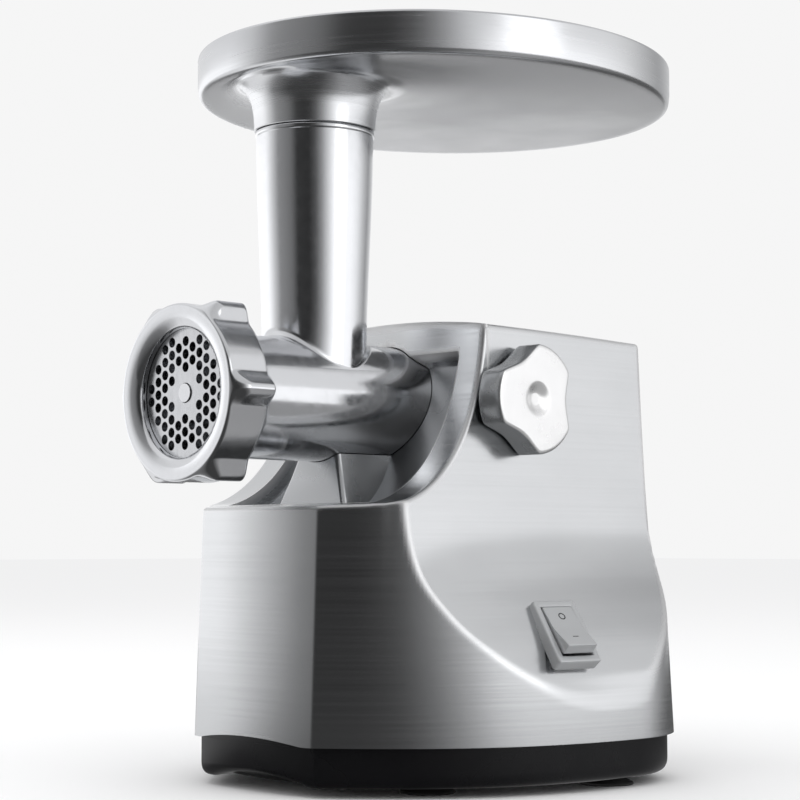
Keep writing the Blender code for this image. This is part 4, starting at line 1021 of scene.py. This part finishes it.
bmesh.ops.transform(shape, verts=shape.verts, matrix=Matrix.Translation(middle) @ upright)
bmesh.ops.recalc_face_normals(shape, faces=shape.faces)
shape.to_mesh(plate_mesh)
shape.free()
plate = finished(bpy.data.objects.new("drilled_plate", plate_mesh), plate_mesh, plate_steel, 30)
plate_mesh.shade_flat()
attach(plate, "head")
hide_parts("grinding_plate")

# ------------------------- hopper tray
# The tray is an oval pressing in aluminium, with its neck formed in one with it. The neck flares into
# the nearly flat floor and drops into the tube. The rim's wall is brushed along its length.
TRAY_HALF, TRAY_CENTRE_Y, TRAY_FLOOR, TRAY_TOP = (106.0, 117.7), 76.5, 144.0, 162.8
NECK_R, NECK_OUT_R, FLARE_R, MOUTH_R = TUBE_BORE_R - 0.6, 27.3, 34.6, 31.6
pressed = Finish("satin_tray", (0.80, 0.81, 0.82), 1.0, 0.24)
pressed_lines = pressed.grain(1.0, 5, 0.6, stretch=(6, 6, 800))
pressed.dull(pressed_lines, 0.18, 0.30)
pressed.tint(pressed.grain(18, 3), (0.74, 0.75, 0.77))
pressed.bump(pressed_lines, 0.00001, 0.25)
TRAY_SIDES, TRAY_INSIDE = 192, TRAY_FLOOR + 2
FLARE = 1.6                                              # the floor's shallow fall towards the neck


def tray_ring(radius, inset, z, share=0.0):
    """A round ring about the tube, an oval one in from the rim, or one part of the way between."""
    ring = []
    for x, y in circle(TRAY_SIDES):
        near = Vector((x * radius, y * radius, z))
        far = Vector(((TRAY_HALF[0] - inset) * x, TRAY_CENTRE_Y + (TRAY_HALF[1] - inset) * y, z))
        ring.append(near.lerp(far, share))
    return ring


NECK = ((NECK_R - 1, -14), (NECK_R, 0), (NECK_R, 0.4), (27.0, 0.4), (NECK_OUT_R, 0.7))
rings = [tray_ring(r, 0, TUBE_TOP + h) for r, h in NECK]
for i in range(1, 13):
    r, z = cubic((NECK_OUT_R, TUBE_TOP + 1), (27.6, TRAY_FLOOR - 11), (29.4, TRAY_FLOOR - 5.6),
                 (FLARE_R, TRAY_FLOOR - FLARE), i / 12)
    rings.append(tray_ring(r, 0, z))
rings += [tray_ring(FLARE_R, 6, TRAY_FLOOR - FLARE * (1 - i / 16) ** 4, i / 16) for i in range(1, 16)]
rim = eased([(6, TRAY_FLOOR), (0.6, TRAY_FLOOR, 3.4), (0, TRAY_FLOOR + 6), (0, TRAY_TOP - 5),
             (0, TRAY_TOP, 1.7), (3.4, TRAY_TOP, 1.7), (3.6, TRAY_TOP - 6), (4.4, TRAY_INSIDE, 3.6),
             (9, TRAY_INSIDE)], 7)
rings += [tray_ring(0, inset, z, 1.0) for inset, z in rim]
rings += [tray_ring(MOUTH_R, 9, TRAY_INSIDE, i / 8) for i in range(7, 0, -1)]
for i in range(0, 11):
    r, z = cubic((MOUTH_R, TRAY_INSIDE), (27, TRAY_FLOOR + 1.6), (NECK_R - 1, TRAY_FLOOR - 4),
                 (NECK_R - 2, TUBE_TOP), i / 10)
    rings.append(tray_ring(r, 0, z))
rings += [tray_ring(NECK_R - 2, 0, TUBE_TOP - 13.6), tray_ring(NECK_R - 1.7, 0, TUBE_TOP - 14)]
tray = skin("oval_tray", rings, pressed, loop=True, sharp=40)
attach(tray, "tray")
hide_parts("hopper_tray")

# ------------------------- working parts inside
# The auger, knife, bush, gears, axles, motor, brushes and board keep their own shapes and get the finish
# of each real material: cast, ground and stamped metal, nylon, varnished copper, moulding and board.
nylon = Finish("white_nylon", (0.80, 0.79, 0.74), 0.0, 0.42)
nylon.dull(nylon.grain(120, 3), 0.36, 0.52)
nylon.bump(nylon.grain(1500, 2), 0.00002, 0.5)
stamped = Finish("stamped_steel", (0.32, 0.32, 0.33), 1.0, 0.45)
stamped.dull(stamped.grain(80, 4), 0.34, 0.55)
stamped.bump(stamped.grain(1.0, 2, stretch=(1, 900, 1)), 0.00005, 0.6)
zinc = Finish("cast_zinc_case", (0.42, 0.43, 0.44), 1.0, 0.5)
zinc.dull(zinc.grain(150, 4), 0.42, 0.6)
zinc.bump(zinc.grain(900, 3), 0.00008, 0.6)
copper = Finish("varnished_copper", (0.72, 0.36, 0.20), 1.0, 0.3, Coat_Weight=0.4)
copper.dull(copper.grain(100, 3), 0.25, 0.4)
copper.bump(copper.grain(1.0, 2, stretch=(1200, 40, 40)), 0.00008, 0.6)
board = Finish("green_board", (0.03, 0.16, 0.07), 0.0, 0.4)
board.tint(board.grain(160, 2, 0.7), (0.05, 0.24, 0.10), 0.47, 0.5)
board.bump(board.grain(160, 2, 0.7), 0.00004, 0.6)
KEPT = {cast: ("auger", "head_socket"), nylon: ("auger_bush", "first_gear", "second_gear"),
        ground: ("cross_knife", "lock_pin", "output_drive", "first_axle", "second_axle"),
        stamped: ("motor_stator", "motor_bracket"), zinc: ("gearbox_housing", "gearbox_cover"),
        copper: ("motor_rotor",), moulded: ("motor_fan", "brush_holder_left", "brush_holder_right"),
        board: ("control_board",)}
for look, names in KEPT.items():
    for name in names:
        node = NODES[name]
        if not node.material_slots:
            node.data.materials.append(look.material)
        for socket in node.material_slots:
            socket.material = look.material
